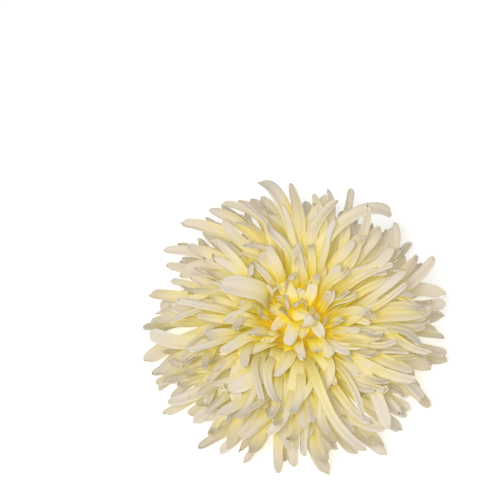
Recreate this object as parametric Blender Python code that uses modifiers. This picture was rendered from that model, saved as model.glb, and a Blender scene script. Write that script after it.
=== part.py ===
"""Artificial spider chrysanthemum head, lying face up on its back petals and its hollow stub.

Metres, +Z up. The flower's axis is the Z axis. The stub's end and the three lowest petals stand on z = 0.
Seven die-cut fabric layers are threaded on the peg of a plastic calyx. Each layer is a small disc with a ring
of petals, and the layers open like a fan: the back one lies almost flat, the heart stands almost upright.
"""

import math
import random
from dataclasses import dataclass, replace

import bmesh
import bpy
from mathutils import Vector

MM = 0.001

FABRIC = 0.7  # thickness of every fabric blade, mm
DISC = 1.0  # thickness of the disc that a layer's petals grow from, mm
GAP = 0.3  # clear space between two pieces that touch, mm
HOLE_RADIUS = 1.85  # hole that a layer's disc has for the peg, mm
DISC_SIDES = 16

STUB_RADIUS = 1.6
BORE_RADIUS = 0.8
BORE_DEPTH = 8.5
PEG_RADIUS = 1.5
BARB_RADIUS = 2.2
BARB_TIP_RADIUS = 0.7
BARB_HEIGHT = 2.4
BARB_EDGE = 0.5  # height of the barb's rim
CAP_RADIUS = 4.0  # radius of the heart's cap
DISH_RADIUS = 8.6
DISH_THICKNESS = 1.2
DISH_TOP = 11.2
TURNED_SIDES = 16
TOOTH_COUNT = 16
TOOTH_LENGTH = 12.5
TOOTH_WIDTH = 1.8
TOOTH_TIP_WIDTH = 0.5
TOOTH_THICKNESS = 0.65  # as a share of its width
TOOTH_SIDES = 6
TOOTH_SLOPE = -9.0  # degrees

LOBE_COUNT = 8
LOBE_SEED = 5
LOBE_LENGTH = 21.5
LOBE_WIDTH = 12.6
LOBE_ROOT_WIDTH = 5.0
LOBE_SIZE_RANGE = (0.94, 1.06)  # as shares of its length and width
LOBE_LEAVE = -10.0  # slope where a lobe leaves its disc, degrees
LOBE_RISE = (-15.0, -21.0)  # slopes of the upper and the lower lobes, in turn round the stub, degrees
LOBE_TURN = 5.0  # greatest random turn round the stub, degrees
LOBE_RECLINE_RANGE = (-4.0, 6.0)
LOBE_SWAY = 8.0
LOBE_TWIST = 7.0
LOBE_CUP = 0.03  # height of its edges as a share of its width
LOBE_TIP = 0.1  # width of its tip as a share of the greatest width
WHORL_RADIUS = 7.6

CREAM = (0.79, 0.74, 0.50, 1.0)
BUTTER = (0.80, 0.68, 0.30, 1.0)
GOLD = (0.75, 0.50, 0.05, 1.0)
LEAF_GREEN = (0.05, 0.13, 0.03, 1.0)
STUB_GREEN = (0.06, 0.22, 0.05, 1.0)
PETAL_ROUGHNESS = 0.85
SEPAL_ROUGHNESS = 0.6
PLASTIC_ROUGHNESS = 0.35

STATIONS = 60  # steps along a petal in which its bends are added up
ROOT_SUNK = 1.6  # how far a petal's root reaches into its disc, mm
ROOT_STRAIGHT = 1.9  # length of its straight start, mm
ROOT_SHARE = 0.88  # how much of the rim the petals' roots take up
LEAVE_RUN = 2.5  # length over which a petal turns up from its disc, mm
UPRIGHT = 75.0  # a petal that leaves steeper than this grows from the top of its disc, degrees
RECLINE_FROM = 0.25  # share of a petal's length from which it bends back
RECLINE_RUN = 0.4  # share of the length over which it does
HOOK_FROM = 0.74  # share of the length from which its tip turns up
TWIST_FROM = 0.25  # share of the length from which it twists
SWELL_RUN = 0.38  # share of the length over which it widens
NARROW_FROM = 0.8  # share of the length from which it narrows
CUP_FROM = 0.12  # share of the length from which its edges rise
CUP_RUN = 0.35  # share of the length over which they do
TIP_ROUND = 0.04  # how far the corners of a tip lie behind its middle, as a share of the length

TURN_JITTER = 1.5  # greatest random turn of a petal round the flower, degrees
LONGEST = 1.04  # as a share of the layer's length
WIDTH_RANGE = (0.78, 1.28)  # as shares of the layer's width
RECLINE_RANGE = (-0.5, 2.5)  # as shares of the layer's recline
HEART_RECLINE_RANGE = (0.0, 1.3)  # the same in the heart's inner row
HOOK_POWER = 2.0  # the higher, the fewer tips hook strongly
HOOK_LEAST = 8.0  # how far the straightest tip hangs, degrees
CUP_RANGE = (0.05, 0.14)  # height of a petal's edges as a share of its width
TIP_WIDEST = 0.95  # greatest width of a tip as a share of the greatest width
WAVES = 3  # times that the petals' sideways turn swings round the flower
WAVE_SHARE = 0.6  # the part of the sideways turn that swings so, the rest being random
SWEPT_AT = 125.0  # azimuth round which all petals are swept to one side and arch over
SWEPT_TURN = 50.0  # greatest sideways turn there, degrees
SWEPT_RISE = 8.0  # greatest extra rise there, degrees
SWEPT_FALL = 36.0  # greatest extra recline there, degrees

FOOT_PETALS = (2, 12, 22)  # petals of the back layer that the flower lies on
FOOT_BEND = {"rise": -4.0, "recline": 38.0, "hook": 72.0, "hook_from": 0.5, "sway": 0.0, "twist": 0.0}
FOOT_CLEAR = 0.03  # height of their lowest points over the surface, mm
SURFACE_CLEAR = 0.8  # least height of every other petal over the surface, mm


@dataclass(frozen=True)
class Layer:
    """One fabric layer. Lengths are in millimetres and angles in degrees above the horizontal."""

    name: str
    colour: tuple
    seed: int
    petals: int
    turn: float  # azimuth of its first petal
    disc_radius: float
    disc_height: float
    length: float
    width: float
    tip: float  # least width of a petal's tip as a share of its greatest width
    rows: tuple  # where a blade has its points, as shares of its length
    leave: float  # slope where a petal leaves the disc
    rise: float  # slope of its middle
    recline: float  # how far its outer half bends back down
    hook: float  # greatest upward turn of its tip
    loose: float  # random part of the rise
    lean: float = 0.0  # how much steeper the petals on the +Y side stand
    fold: float = 0.0  # how far the tips fold over towards the -Y side
    fold_from: float = 0.45  # share of the length from which they fold
    arch: float = 0.0  # how much of the extra rise and fall its swept petals take
    shortest: float = 0.75  # as a share of the length
    sway: float = 38.0  # greatest sideways turn of a petal
    twist: float = 70.0  # greatest twist of a petal


@dataclass(frozen=True)
class Petal:
    """One petal by rule. Lengths are in millimetres and angles in degrees."""

    azimuth: float
    root_radius: float
    height: float
    length: float
    width: float
    leave: float
    rise: float
    recline: float
    hook: float
    sway: float
    twist: float
    cup: float
    tip: float  # width of the tip as a share of the greatest width
    root_width: float
    bend: float = 7.0  # length over which the root bends
    recline_from: float = RECLINE_FROM
    hook_from: float = HOOK_FROM


FLAT_ROWS = (0.0, 0.16, 0.42, 0.66, 0.84, 1.0)
BENT_ROWS = (0.0, 0.07, 0.24, 0.52, 0.8, 1.0)
HEART_ROWS = (0.0, 0.13, 0.4, 0.66, 0.86, 1.0)

LAYERS = (
    Layer(
        name="petal_layer_1", colour=CREAM, seed=1411, petals=30, turn=0.0,
        disc_radius=13.0, disc_height=12.0, length=54.0, width=5.2, tip=0.6,
        rows=FLAT_ROWS, leave=-2.0, rise=-4.0, recline=4.0, hook=50.0, loose=4.0,
        shortest=0.86,
    ),
    Layer(
        name="petal_layer_2", colour=CREAM, seed=2512, petals=28, turn=5.0,
        disc_radius=11.6, disc_height=13.3, length=55.0, width=5.2, tip=0.6,
        rows=FLAT_ROWS, leave=5.0, rise=8.0, recline=5.0, hook=60.0, loose=4.5,
        lean=2.0, arch=0.4, shortest=0.8,
    ),
    Layer(
        name="petal_layer_3", colour=CREAM, seed=1113, petals=25, turn=6.0,
        disc_radius=10.2, disc_height=14.6, length=54.0, width=5.2, tip=0.55,
        rows=FLAT_ROWS, leave=11.0, rise=20.0, recline=8.0, hook=70.0, loose=4.5,
        lean=4.0, arch=0.7, shortest=0.7,
    ),
    Layer(
        name="petal_layer_4", colour=CREAM, seed=414, petals=22, turn=0.0,
        disc_radius=8.8, disc_height=15.9, length=51.0, width=5.2, tip=0.55,
        rows=BENT_ROWS, leave=18.0, rise=32.0, recline=12.0, hook=100.0, loose=4.5,
        lean=6.0, fold=5.0, arch=1.0, shortest=0.6,
    ),
    Layer(
        name="petal_layer_5", colour=BUTTER, seed=415, petals=18, turn=3.0,
        disc_radius=7.4, disc_height=17.2, length=46.0, width=5.0, tip=0.55,
        rows=BENT_ROWS, leave=24.0, rise=43.0, recline=12.0, hook=100.0, loose=4.5,
        lean=8.0, fold=15.0, arch=1.0, shortest=0.55,
    ),
    Layer(
        name="petal_layer_6", colour=BUTTER, seed=316, petals=14, turn=10.0,
        disc_radius=6.2, disc_height=18.5, length=36.0, width=5.4, tip=0.6,
        rows=BENT_ROWS, leave=32.0, rise=54.0, recline=9.0, hook=90.0, loose=4.5,
        lean=10.0, fold=28.0, arch=0.6, shortest=0.6,
    ),
    Layer(
        name="petal_layer_7", colour=GOLD, seed=217, petals=9, turn=20.0,
        disc_radius=5.2, disc_height=19.9, length=28.0, width=5.8, tip=0.7,
        rows=HEART_ROWS, leave=40.0, rise=66.0, recline=4.0, hook=60.0, loose=4.5,
        lean=12.0, fold=42.0, sway=45.0, twist=80.0,
    ),
)
HEART_ROW = Layer(
    name="heart_row", colour=GOLD, seed=18, petals=7, turn=40.0,
    disc_radius=3.1, disc_height=22.0, length=21.0, width=7.4, tip=0.8,
    rows=HEART_ROWS, leave=86.0, rise=78.0, recline=22.0, hook=30.0, loose=6.0,
    fold=85.0, fold_from=0.35, shortest=0.8, sway=45.0, twist=60.0,
)
FEATURES = {  # petals that lie unlike their neighbours
    ("petal_layer_3", 2): {"sway": 52.0, "hook": 20.0},
    ("petal_layer_3", 3): {"sway": 58.0, "hook": 30.0, "twist": 30.0},
    ("petal_layer_3", 4): {"length": 60.0, "rise": 30.0, "recline": 30.0, "twist": 70.0, "width": 5.0},
    ("petal_layer_4", 5): {"length": 53.0, "rise": 44.0, "hook": 60.0, "twist": 85.0, "sway": -12.0},
    ("petal_layer_4", 6): {"length": 57.0, "rise": 36.0, "sway": 60.0, "twist": 35.0, "width": 5.0},
    ("petal_layer_5", 7): {"width": 10.0, "tip": 0.4, "hook": 130.0, "hook_from": 0.5, "twist": -20.0},
}


def ease(value):
    """Smooth step from 0 to 1."""
    share = min(max(value, 0.0), 1.0)
    return share * share * (3.0 - 2.0 * share)


def clear_scene():
    for obj in list(bpy.data.objects):
        bpy.data.objects.remove(obj, do_unlink=True)


def new_collection(name):
    collection = bpy.data.collections.new(name)
    bpy.context.scene.collection.children.link(collection)
    return collection


def new_material(name, colour, roughness):
    material = bpy.data.materials.new(name)
    material.use_nodes = True
    shader = material.node_tree.nodes["Principled BSDF"]
    shader.inputs["Base Color"].default_value = colour
    shader.inputs["Roughness"].default_value = roughness
    shader.inputs["Metallic"].default_value = 0.0
    return material


def new_object(name, mesh, collection):
    obj = bpy.data.objects.new(name, mesh)
    collection.objects.link(obj)
    return obj


def turned(name, profile, sides, collection):
    """A turned solid: the (radius, height) points in mm run down its outer side, round the Z axis."""
    mesh = bpy.data.meshes.new(name)
    points = [(radius * MM, 0.0, height * MM) for radius, height in profile]
    on_axis = profile[0][0] == 0.0
    edges = [(i, i + 1) for i in range(len(points) - 1)]
    if not on_axis:
        edges.append((len(points) - 1, 0))
    mesh.from_pydata(points, edges, [])
    obj = new_object(name, mesh, collection)
    screw = obj.modifiers.new("turn", "SCREW")
    screw.steps = screw.render_steps = sides
    screw.use_merge_vertices = True
    screw.merge_threshold = 0.01 * MM
    screw.use_smooth_shade = False
    return obj


def applied(obj):
    """Replaces an object's mesh by its evaluated one, with the modifiers gone."""
    graph = bpy.context.evaluated_depsgraph_get()
    mesh = bpy.data.meshes.new_from_object(obj.evaluated_get(graph))
    obj.modifiers.clear()
    old = obj.data
    obj.data = mesh
    bpy.data.meshes.remove(old)
    mesh.name = obj.name


def fuse(obj, blades):
    """Joins every object of the collection to obj in one Boolean union, and removes them."""
    union = obj.modifiers.new("fuse", "BOOLEAN")
    union.operation = "UNION"
    union.operand_type = "COLLECTION"
    union.collection = blades
    applied(obj)
    for blade in list(blades.objects):
        bpy.data.objects.remove(blade, do_unlink=True)
    bpy.data.collections.remove(blades)


def stations(petal):
    """Places and directions along a petal's centre line, in mm, as (place, across, up) for each station."""
    angle = math.radians(petal.azimuth)
    outward = Vector((math.cos(angle), math.sin(angle), 0.0))
    sideways = Vector((-math.sin(angle), math.cos(angle), 0.0))
    upward = Vector((0.0, 0.0, 1.0))
    place = outward * petal.root_radius + upward * petal.height
    step = petal.length / STATIONS
    found = []
    for index in range(STATIONS + 1):
        share = index / STATIONS
        run = share * petal.length
        slope = petal.leave * (1.0 if petal.leave > UPRIGHT else ease((run - ROOT_STRAIGHT) / LEAVE_RUN))
        slope += (petal.rise - petal.leave) * ease((run - ROOT_STRAIGHT) / petal.bend)
        slope -= petal.recline * ease((share - petal.recline_from) / RECLINE_RUN)
        slope += petal.hook * ease((share - petal.hook_from) / (1.0 - petal.hook_from))
        slope = math.radians(slope)
        turn = math.radians(petal.sway) * share * share
        flat = outward * math.cos(turn) + sideways * math.sin(turn)
        along = flat * math.cos(slope) + upward * math.sin(slope)
        across = sideways * math.cos(turn) - outward * math.sin(turn)
        up = along.cross(across)
        roll = math.radians(petal.twist) * ease((share - TWIST_FROM) / (1.0 - TWIST_FROM))
        found.append(
            (
                place.copy(),
                across * math.cos(roll) + up * math.sin(roll),
                up * math.cos(roll) - across * math.sin(roll),
            )
        )
        place += along * step
    return found


def half_width(petal, share):
    """Half the petal's width at this share of its length, in mm."""
    swelling = petal.root_width + (petal.width - petal.root_width) * ease(share / SWELL_RUN)
    narrowing = 1.0 - (1.0 - petal.tip) * ease((share - NARROW_FROM) / (1.0 - NARROW_FROM))
    return 0.5 * swelling * narrowing


def blade(petal, rows, collection, foot=False):
    """A petal as a thin closed blade, three points wide, with its edges raised into a shallow channel."""
    line = stations(petal)
    segments = len(rows) - 1
    graph = bmesh.new()
    bmesh.ops.create_grid(graph, x_segments=2, y_segments=segments, size=1.0)
    for vertex in graph.verts:
        side = -round(vertex.co.x)
        row = round((vertex.co.y + 1.0) * 0.5 * segments)
        share = rows[row]
        if row == segments and side:
            share -= TIP_ROUND
        place, across, up = line[round(share * STATIONS)]
        lift = petal.cup * petal.width * ease((share - CUP_FROM) / CUP_RUN) * abs(side)
        vertex.co = (place + across * side * half_width(petal, share) + up * lift) * MM
    settle(graph, petal.height, foot)
    bmesh.ops.triangulate(graph, faces=graph.faces)
    mesh = bpy.data.meshes.new("petal")
    graph.to_mesh(mesh)
    graph.free()
    obj = new_object("petal", mesh, collection)
    shell = obj.modifiers.new("fabric", "SOLIDIFY")
    shell.thickness = FABRIC * MM
    shell.offset = 0.0
    return obj


def settle(graph, root_height, foot):
    """Draws a blade that sinks too low up to its least height, and a foot petal always to the surface."""
    root = root_height * MM
    lowest = min(vertex.co.z for vertex in graph.verts)
    level = ((FOOT_CLEAR if foot else SURFACE_CLEAR) + 0.5 * FABRIC) * MM
    if foot or lowest < level:
        for vertex in graph.verts:
            vertex.co.z = root + (vertex.co.z - root) * (root - level) / (root - lowest)


def petals_of(layer):
    """The layer's petals, drawn from its own seed."""
    draw = random.Random(layer.seed)
    swing = draw.uniform(0.0, 360.0)
    found = []
    for index in range(layer.petals):
        azimuth = layer.turn + 360.0 * index / layer.petals
        side = math.sin(math.radians(azimuth))
        wave = math.sin(math.radians(WAVES * azimuth + swing))
        swept = max(math.cos(math.radians(azimuth - SWEPT_AT)), 0.0) ** 2
        inner = layer.leave > UPRIGHT
        petal = Petal(
            azimuth=azimuth + draw.uniform(-TURN_JITTER, TURN_JITTER),
            root_radius=layer.disc_radius - (0.0 if inner else ROOT_SUNK),
            height=layer.disc_height,
            length=layer.length * draw.uniform(layer.shortest, LONGEST),
            width=layer.width * draw.uniform(*WIDTH_RANGE),
            leave=layer.leave,
            rise=layer.rise
            + layer.lean * side
            + SWEPT_RISE * layer.arch * swept
            + draw.uniform(-layer.loose, layer.loose),
            recline=layer.recline * draw.uniform(*(HEART_RECLINE_RANGE if inner else RECLINE_RANGE))
            + SWEPT_FALL * layer.arch * swept
            + layer.fold * max(-side, 0.0) ** 2,
            hook=layer.hook * draw.random() ** HOOK_POWER - HOOK_LEAST + layer.fold * max(side, 0.0) ** 2,
            sway=SWEPT_TURN * swept
            + layer.sway * (WAVE_SHARE * wave + (1.0 - WAVE_SHARE) * draw.uniform(-1.0, 1.0)),
            twist=draw.uniform(-layer.twist, layer.twist),
            cup=draw.uniform(*CUP_RANGE),
            tip=draw.uniform(layer.tip, TIP_WIDEST),
            root_width=ROOT_SHARE * 2.0 * math.pi * layer.disc_radius / layer.petals,
            recline_from=layer.fold_from if layer.fold else RECLINE_FROM,
            hook_from=layer.fold_from if inner else HOOK_FROM,
        )
        found.append(replace(petal, **FEATURES.get((layer.name, index), {})))
    return found


def disc_profile(layer):
    """The section of a layer's disc, or of the heart's cap, whose blind socket takes the peg's barb."""
    low, high = layer.disc_height - 0.5 * DISC, layer.disc_height + 0.5 * DISC
    if layer is not LAYERS[-1]:
        return (
            (HOLE_RADIUS, high),
            (layer.disc_radius, high),
            (layer.disc_radius, low),
            (HOLE_RADIUS, low),
        )
    socket = barb_low() + BARB_HEIGHT + GAP
    return (
        (0.0, socket + DISC),
        (CAP_RADIUS, socket + DISC),
        (CAP_RADIUS, high),
        (layer.disc_radius, high),
        (layer.disc_radius, low),
        (BARB_RADIUS + GAP, low),
        (BARB_RADIUS + GAP, socket),
        (0.0, socket),
    )


def barb_low():
    """Height of the barb's lower face, which holds down the layers under the heart."""
    return LAYERS[-2].disc_height + 0.5 * DISC + GAP


def petal_layer(layer, flower):
    """A layer's disc with its petals fused on."""
    obj = turned(layer.name, disc_profile(layer), DISC_SIDES, flower)
    blades = new_collection("blades")
    for index, petal in enumerate(petals_of(layer)):
        foot = layer is LAYERS[0] and index in FOOT_PETALS
        blade(replace(petal, **FOOT_BEND) if foot else petal, layer.rows, blades, foot)
    if layer is LAYERS[-1]:
        for petal in petals_of(HEART_ROW):
            blade(petal, HEART_ROW.rows, blades)
    fuse(obj, blades)
    obj.data.materials.append(new_material(layer.name, layer.colour, PETAL_ROUGHNESS))
    return obj


def sepal_whorl(flower):
    """The dark green whorl under the teeth: a disc round the stub with pointed lobes."""
    top = DISH_TOP - DISH_THICKNESS - GAP
    radius = STUB_RADIUS + GAP
    profile = ((radius, top), (WHORL_RADIUS, top), (WHORL_RADIUS, top - DISC), (radius, top - DISC))
    obj = turned("sepal_whorl", profile, 3 * LOBE_COUNT, flower)
    draw = random.Random(LOBE_SEED)
    lobes = new_collection("lobes")
    for index in range(LOBE_COUNT):
        lobe = Petal(
            azimuth=360.0 * (index + 0.5) / LOBE_COUNT + draw.uniform(-LOBE_TURN, LOBE_TURN),
            root_radius=WHORL_RADIUS - ROOT_SUNK,
            height=top - 0.5 * DISC,
            length=LOBE_LENGTH * draw.uniform(*LOBE_SIZE_RANGE),
            width=LOBE_WIDTH * draw.uniform(*LOBE_SIZE_RANGE),
            leave=LOBE_LEAVE,
            rise=LOBE_RISE[index % len(LOBE_RISE)],
            recline=draw.uniform(*LOBE_RECLINE_RANGE),
            hook=0.0,
            sway=draw.uniform(-LOBE_SWAY, LOBE_SWAY),
            twist=draw.uniform(-LOBE_TWIST, LOBE_TWIST),
            cup=LOBE_CUP,
            tip=LOBE_TIP,
            root_width=LOBE_ROOT_WIDTH,
        )
        blade(lobe, FLAT_ROWS, lobes)
    fuse(obj, lobes)
    obj.data.materials.append(new_material("sepal_fabric", LEAF_GREEN, SEPAL_ROUGHNESS))
    return obj


def tooth(azimuth, collection):
    """One pointed tooth of the calyx, from inside the dish's rim outwards and down."""
    graph = bmesh.new()
    bmesh.ops.create_cone(
        graph,
        cap_ends=True,
        segments=TOOTH_SIDES,
        radius1=0.5 * TOOTH_WIDTH * MM,
        radius2=0.5 * TOOTH_TIP_WIDTH * MM,
        depth=TOOTH_LENGTH * MM,
    )
    bmesh.ops.scale(graph, vec=(TOOTH_THICKNESS, 1.0, 1.0), verts=graph.verts)
    mesh = bpy.data.meshes.new("tooth")
    graph.to_mesh(mesh)
    graph.free()
    obj = new_object("tooth", mesh, collection)
    slope = math.radians(TOOTH_SLOPE)
    middle = DISH_RADIUS - ROOT_SUNK + 0.5 * TOOTH_LENGTH * math.cos(slope)
    height = DISH_TOP - 0.5 * DISH_THICKNESS + 0.5 * TOOTH_LENGTH * math.sin(slope)
    angle = math.radians(azimuth)
    obj.location = (middle * math.cos(angle) * MM, middle * math.sin(angle) * MM, height * MM)
    obj.rotation_euler = (0.0, math.pi / 2 - slope, angle)
    return obj


def calyx_moulding(flower):
    """The plastic piece: a hollow stub, a shallow dish with teeth, and the peg that holds the fabric."""
    barb = barb_low()
    dish_low = DISH_TOP - DISH_THICKNESS
    profile = (
        (0.0, barb + BARB_HEIGHT),
        (BARB_TIP_RADIUS, barb + BARB_HEIGHT),
        (BARB_RADIUS, barb + BARB_EDGE),
        (BARB_RADIUS, barb),
        (PEG_RADIUS, barb),
        (PEG_RADIUS, DISH_TOP),
        (DISH_RADIUS, DISH_TOP),
        (DISH_RADIUS, dish_low),
        (STUB_RADIUS, dish_low),
        (STUB_RADIUS, 0.0),
        (BORE_RADIUS, 0.0),
        (BORE_RADIUS, BORE_DEPTH),
        (0.0, BORE_DEPTH),
    )
    obj = turned("calyx_moulding", profile, TURNED_SIDES, flower)
    teeth = new_collection("teeth")
    for index in range(TOOTH_COUNT):
        tooth(360.0 * index / TOOTH_COUNT, teeth)
    fuse(obj, teeth)
    obj.data.materials.append(new_material("calyx_plastic", STUB_GREEN, PLASTIC_ROUGHNESS))
    return obj


def main():
    clear_scene()
    flower = new_collection("spider_chrysanthemum")
    calyx_moulding(flower)
    sepal_whorl(flower)
    for layer in LAYERS:
        petal_layer(layer, flower)


main()
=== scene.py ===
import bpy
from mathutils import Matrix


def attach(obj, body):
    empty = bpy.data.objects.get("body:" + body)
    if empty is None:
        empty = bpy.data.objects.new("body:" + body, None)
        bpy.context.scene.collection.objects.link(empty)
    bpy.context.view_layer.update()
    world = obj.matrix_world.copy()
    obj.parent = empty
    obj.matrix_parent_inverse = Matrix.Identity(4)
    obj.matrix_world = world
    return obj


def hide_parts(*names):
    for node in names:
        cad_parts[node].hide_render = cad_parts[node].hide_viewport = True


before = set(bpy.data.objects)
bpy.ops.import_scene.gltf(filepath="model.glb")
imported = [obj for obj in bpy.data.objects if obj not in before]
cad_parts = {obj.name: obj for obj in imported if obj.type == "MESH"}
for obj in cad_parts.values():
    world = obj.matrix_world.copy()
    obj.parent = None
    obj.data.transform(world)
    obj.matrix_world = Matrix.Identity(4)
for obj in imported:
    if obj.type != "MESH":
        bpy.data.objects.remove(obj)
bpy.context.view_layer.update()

"""Artificial spider chrysanthemum head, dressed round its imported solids.

Metres, +Z up. The flower's axis is the Z axis. Each fabric layer, the sepal whorl and the green moulding gets a
finer piece that follows the same rule as its solid. Sizes inside the classes are in millimetres.
"""

import logging
import math
import random
from dataclasses import dataclass, field, replace
from enum import Enum

import bmesh
import bpy
from mathutils import Vector

MM = 0.001
LOG = logging.getLogger("chrysanthemum")
Colour = tuple[float, float, float, float]


def srgb(red: int, green: int, blue: int) -> Colour:
    """A display colour from 0 to 255 as the linear colour that a shader takes.

    Args:
        red: Red, 0 to 255.
        green: Green, 0 to 255.
        blue: Blue, 0 to 255.

    Returns:
        The linear colour with an alpha of 1.
    """
    linear = []
    for value in (red, green, blue):
        share = value / 255.0
        linear.append(share / 12.92 if share <= 0.04045 else ((share + 0.055) / 1.055) ** 2.4)
    return (linear[0], linear[1], linear[2], 1.0)


def ease(value: float) -> float:
    """Smooth step from 0 to 1.

    Args:
        value: Where it is read; below 0 and above 1 it stays level.

    Returns:
        A share from 0 to 1.
    """
    share = min(max(value, 0.0), 1.0)
    return share * share * (3.0 - 2.0 * share)


# Node trees


class Nodes:
    """Places and links nodes in one tree, so that a tree reads as a list of its steps."""

    def __init__(self, tree: bpy.types.NodeTree) -> None:
        """Takes the tree to fill.

        Args:
            tree: A shader or geometry node tree.
        """
        self.tree = tree

    def add(self, kind: str, inputs: dict | None = None, **settings: object) -> bpy.types.Node:
        """Adds a node.

        Args:
            kind: The node's type name.
            inputs: Values or output sockets by input name or number.
            **settings: Properties of the node itself.

        Returns:
            The new node.
        """
        node = self.tree.nodes.new(kind)
        for name, value in settings.items():
            setattr(node, name, value)
        for key, value in (inputs or {}).items():
            if isinstance(value, bpy.types.NodeSocket):
                self.tree.links.new(value, node.inputs[key])
            else:
                node.inputs[key].default_value = value
        return node

    def math(self, operation: str, first: object, second: object = 0.0, third: object = 0.0) -> bpy.types.NodeSocket:
        """Adds a Math node, and gives its result.

        Args:
            operation: The operation's name.
            first: First value or socket.
            second: Second value or socket.
            third: Third value or socket, which few operations read.

        Returns:
            The output socket.
        """
        return self.add("ShaderNodeMath", {0: first, 1: second, 2: third}, operation=operation).outputs[0]

    def scaled(self, vector: bpy.types.NodeSocket, factor: object) -> bpy.types.NodeSocket:
        """A vector times a number.

        Args:
            vector: The vector's socket.
            factor: The number or its socket.

        Returns:
            The output socket.
        """
        node = self.add("ShaderNodeVectorMath", {0: vector, "Scale": factor}, operation="SCALE")
        return node.outputs[0]

    def summed(self, first: bpy.types.NodeSocket, second: bpy.types.NodeSocket) -> bpy.types.NodeSocket:
        """The sum of two vectors.

        Args:
            first: First vector's socket.
            second: Second vector's socket.

        Returns:
            The output socket.
        """
        return self.add("ShaderNodeVectorMath", {0: first, 1: second}, operation="ADD").outputs[0]

    def smooth(self, value: bpy.types.NodeSocket, low: float, high: float) -> bpy.types.NodeSocket:
        """A smooth step of a value between two limits.

        Args:
            value: The value's socket.
            low: Where the step begins.
            high: Where it ends.

        Returns:
            The output socket, 0 to 1.
        """
        node = self.add(
            "ShaderNodeMapRange",
            {"Value": value, "From Min": low, "From Max": high},
            interpolation_type="SMOOTHSTEP",
        )
        return node.outputs["Result"]

    def ramp(self, factor: bpy.types.NodeSocket, stops: list[tuple[float, Colour]]) -> bpy.types.NodeSocket:
        """A colour ramp.

        Args:
            factor: What it reads.
            stops: Places from 0 to 1 with their colours.

        Returns:
            The colour socket.
        """
        node = self.add("ShaderNodeValToRGB", {"Fac": factor})
        elements = node.color_ramp.elements
        while len(elements) < len(stops):
            elements.new(1.0)
        for element, (place, colour) in zip(elements, stops):
            element.position = place
            element.color = colour
        return node.outputs["Color"]

    def mixed(
        self, factor: object, first: object, second: object, blend: str = "MIX"
    ) -> bpy.types.NodeSocket:
        """Two colours mixed.

        Args:
            factor: Share of the second colour, a number or a socket.
            first: First colour or socket.
            second: Second colour or socket.
            blend: The blend's name.

        Returns:
            The colour socket.
        """
        node = self.add("ShaderNodeMix", data_type="RGBA", blend_type=blend)
        for name, value in (("Factor_Float", factor), ("A_Color", first), ("B_Color", second)):
            socket = next(s for s in node.inputs if s.identifier == name)
            if isinstance(value, bpy.types.NodeSocket):
                self.tree.links.new(value, socket)
            else:
                socket.default_value = value
        return next(s for s in node.outputs if s.identifier == "Result_Color")


def value_group(name: str, inputs: dict[str, float], outputs: list[str]) -> tuple[bpy.types.NodeTree, Nodes]:
    """An empty shader group that reads a place called Vector.

    Args:
        name: The group's name.
        inputs: Its number inputs with their usual values.
        outputs: Names of its number outputs.

    Returns:
        The group and the helper that fills it.
    """
    group = bpy.data.node_groups.new(name, "ShaderNodeTree")
    group.interface.new_socket("Vector", in_out="INPUT", socket_type="NodeSocketVector")
    for label, value in inputs.items():
        socket = group.interface.new_socket(label, in_out="INPUT", socket_type="NodeSocketFloat")
        socket.default_value = value
    for label in outputs:
        group.interface.new_socket(label, in_out="OUTPUT", socket_type="NodeSocketFloat")
    return group, Nodes(group)


class Effect(Enum):
    """Shader groups that several finishes share, by name."""

    WEAVE = "cloth_weave"
    MOTTLE = "soft_mottle"

    def group(self) -> bpy.types.NodeTree:
        """The effect's node group, built the first time it is asked for.

        Returns:
            The shader node group.
        """
        found = bpy.data.node_groups.get(self.value)
        if found:
            return found
        return weave_group(self.value) if self is Effect.WEAVE else mottle_group(self.value)

    def place(self, nodes: Nodes, vector: bpy.types.NodeSocket, **values: float) -> bpy.types.Node:
        """Places the group in a material.

        Args:
            nodes: The material's tree.
            vector: The coordinates that it reads.
            **values: Its number inputs, with underscores for spaces.

        Returns:
            The group node.
        """
        node = nodes.add("ShaderNodeGroup", node_tree=self.group())
        nodes.tree.links.new(vector, node.inputs["Vector"])
        for label, value in values.items():
            node.inputs[label.replace("_", " ")].default_value = value
        return node


def weave_group(name: str) -> bpy.types.NodeTree:
    """Fine plain-weave threads with uneven yarn.

    Args:
        name: The group's name.

    Returns:
        A group that puts out Height.
    """
    group, nodes = value_group(name, {"Threads": 260.0, "Unevenness": 0.3}, ["Height"])
    given = nodes.add("NodeGroupInput").outputs
    split = nodes.add("ShaderNodeSeparateXYZ", {0: given["Vector"]})
    threads = []
    for axis in (0, 1):
        turns = nodes.math("MULTIPLY", nodes.math("MULTIPLY", split.outputs[axis], given["Threads"]), math.pi)
        threads.append(nodes.math("ABSOLUTE", nodes.math("SINE", turns)))
    noise = nodes.add("ShaderNodeTexNoise", {"Vector": given["Vector"], "Scale": 90.0, "Detail": 2.0})
    rough = nodes.math("MULTIPLY", noise.outputs[0], given["Unevenness"])
    height = nodes.math("ADD", nodes.math("MULTIPLY", threads[0], threads[1]), rough)
    nodes.add("NodeGroupOutput", {"Height": height})
    return group


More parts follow.
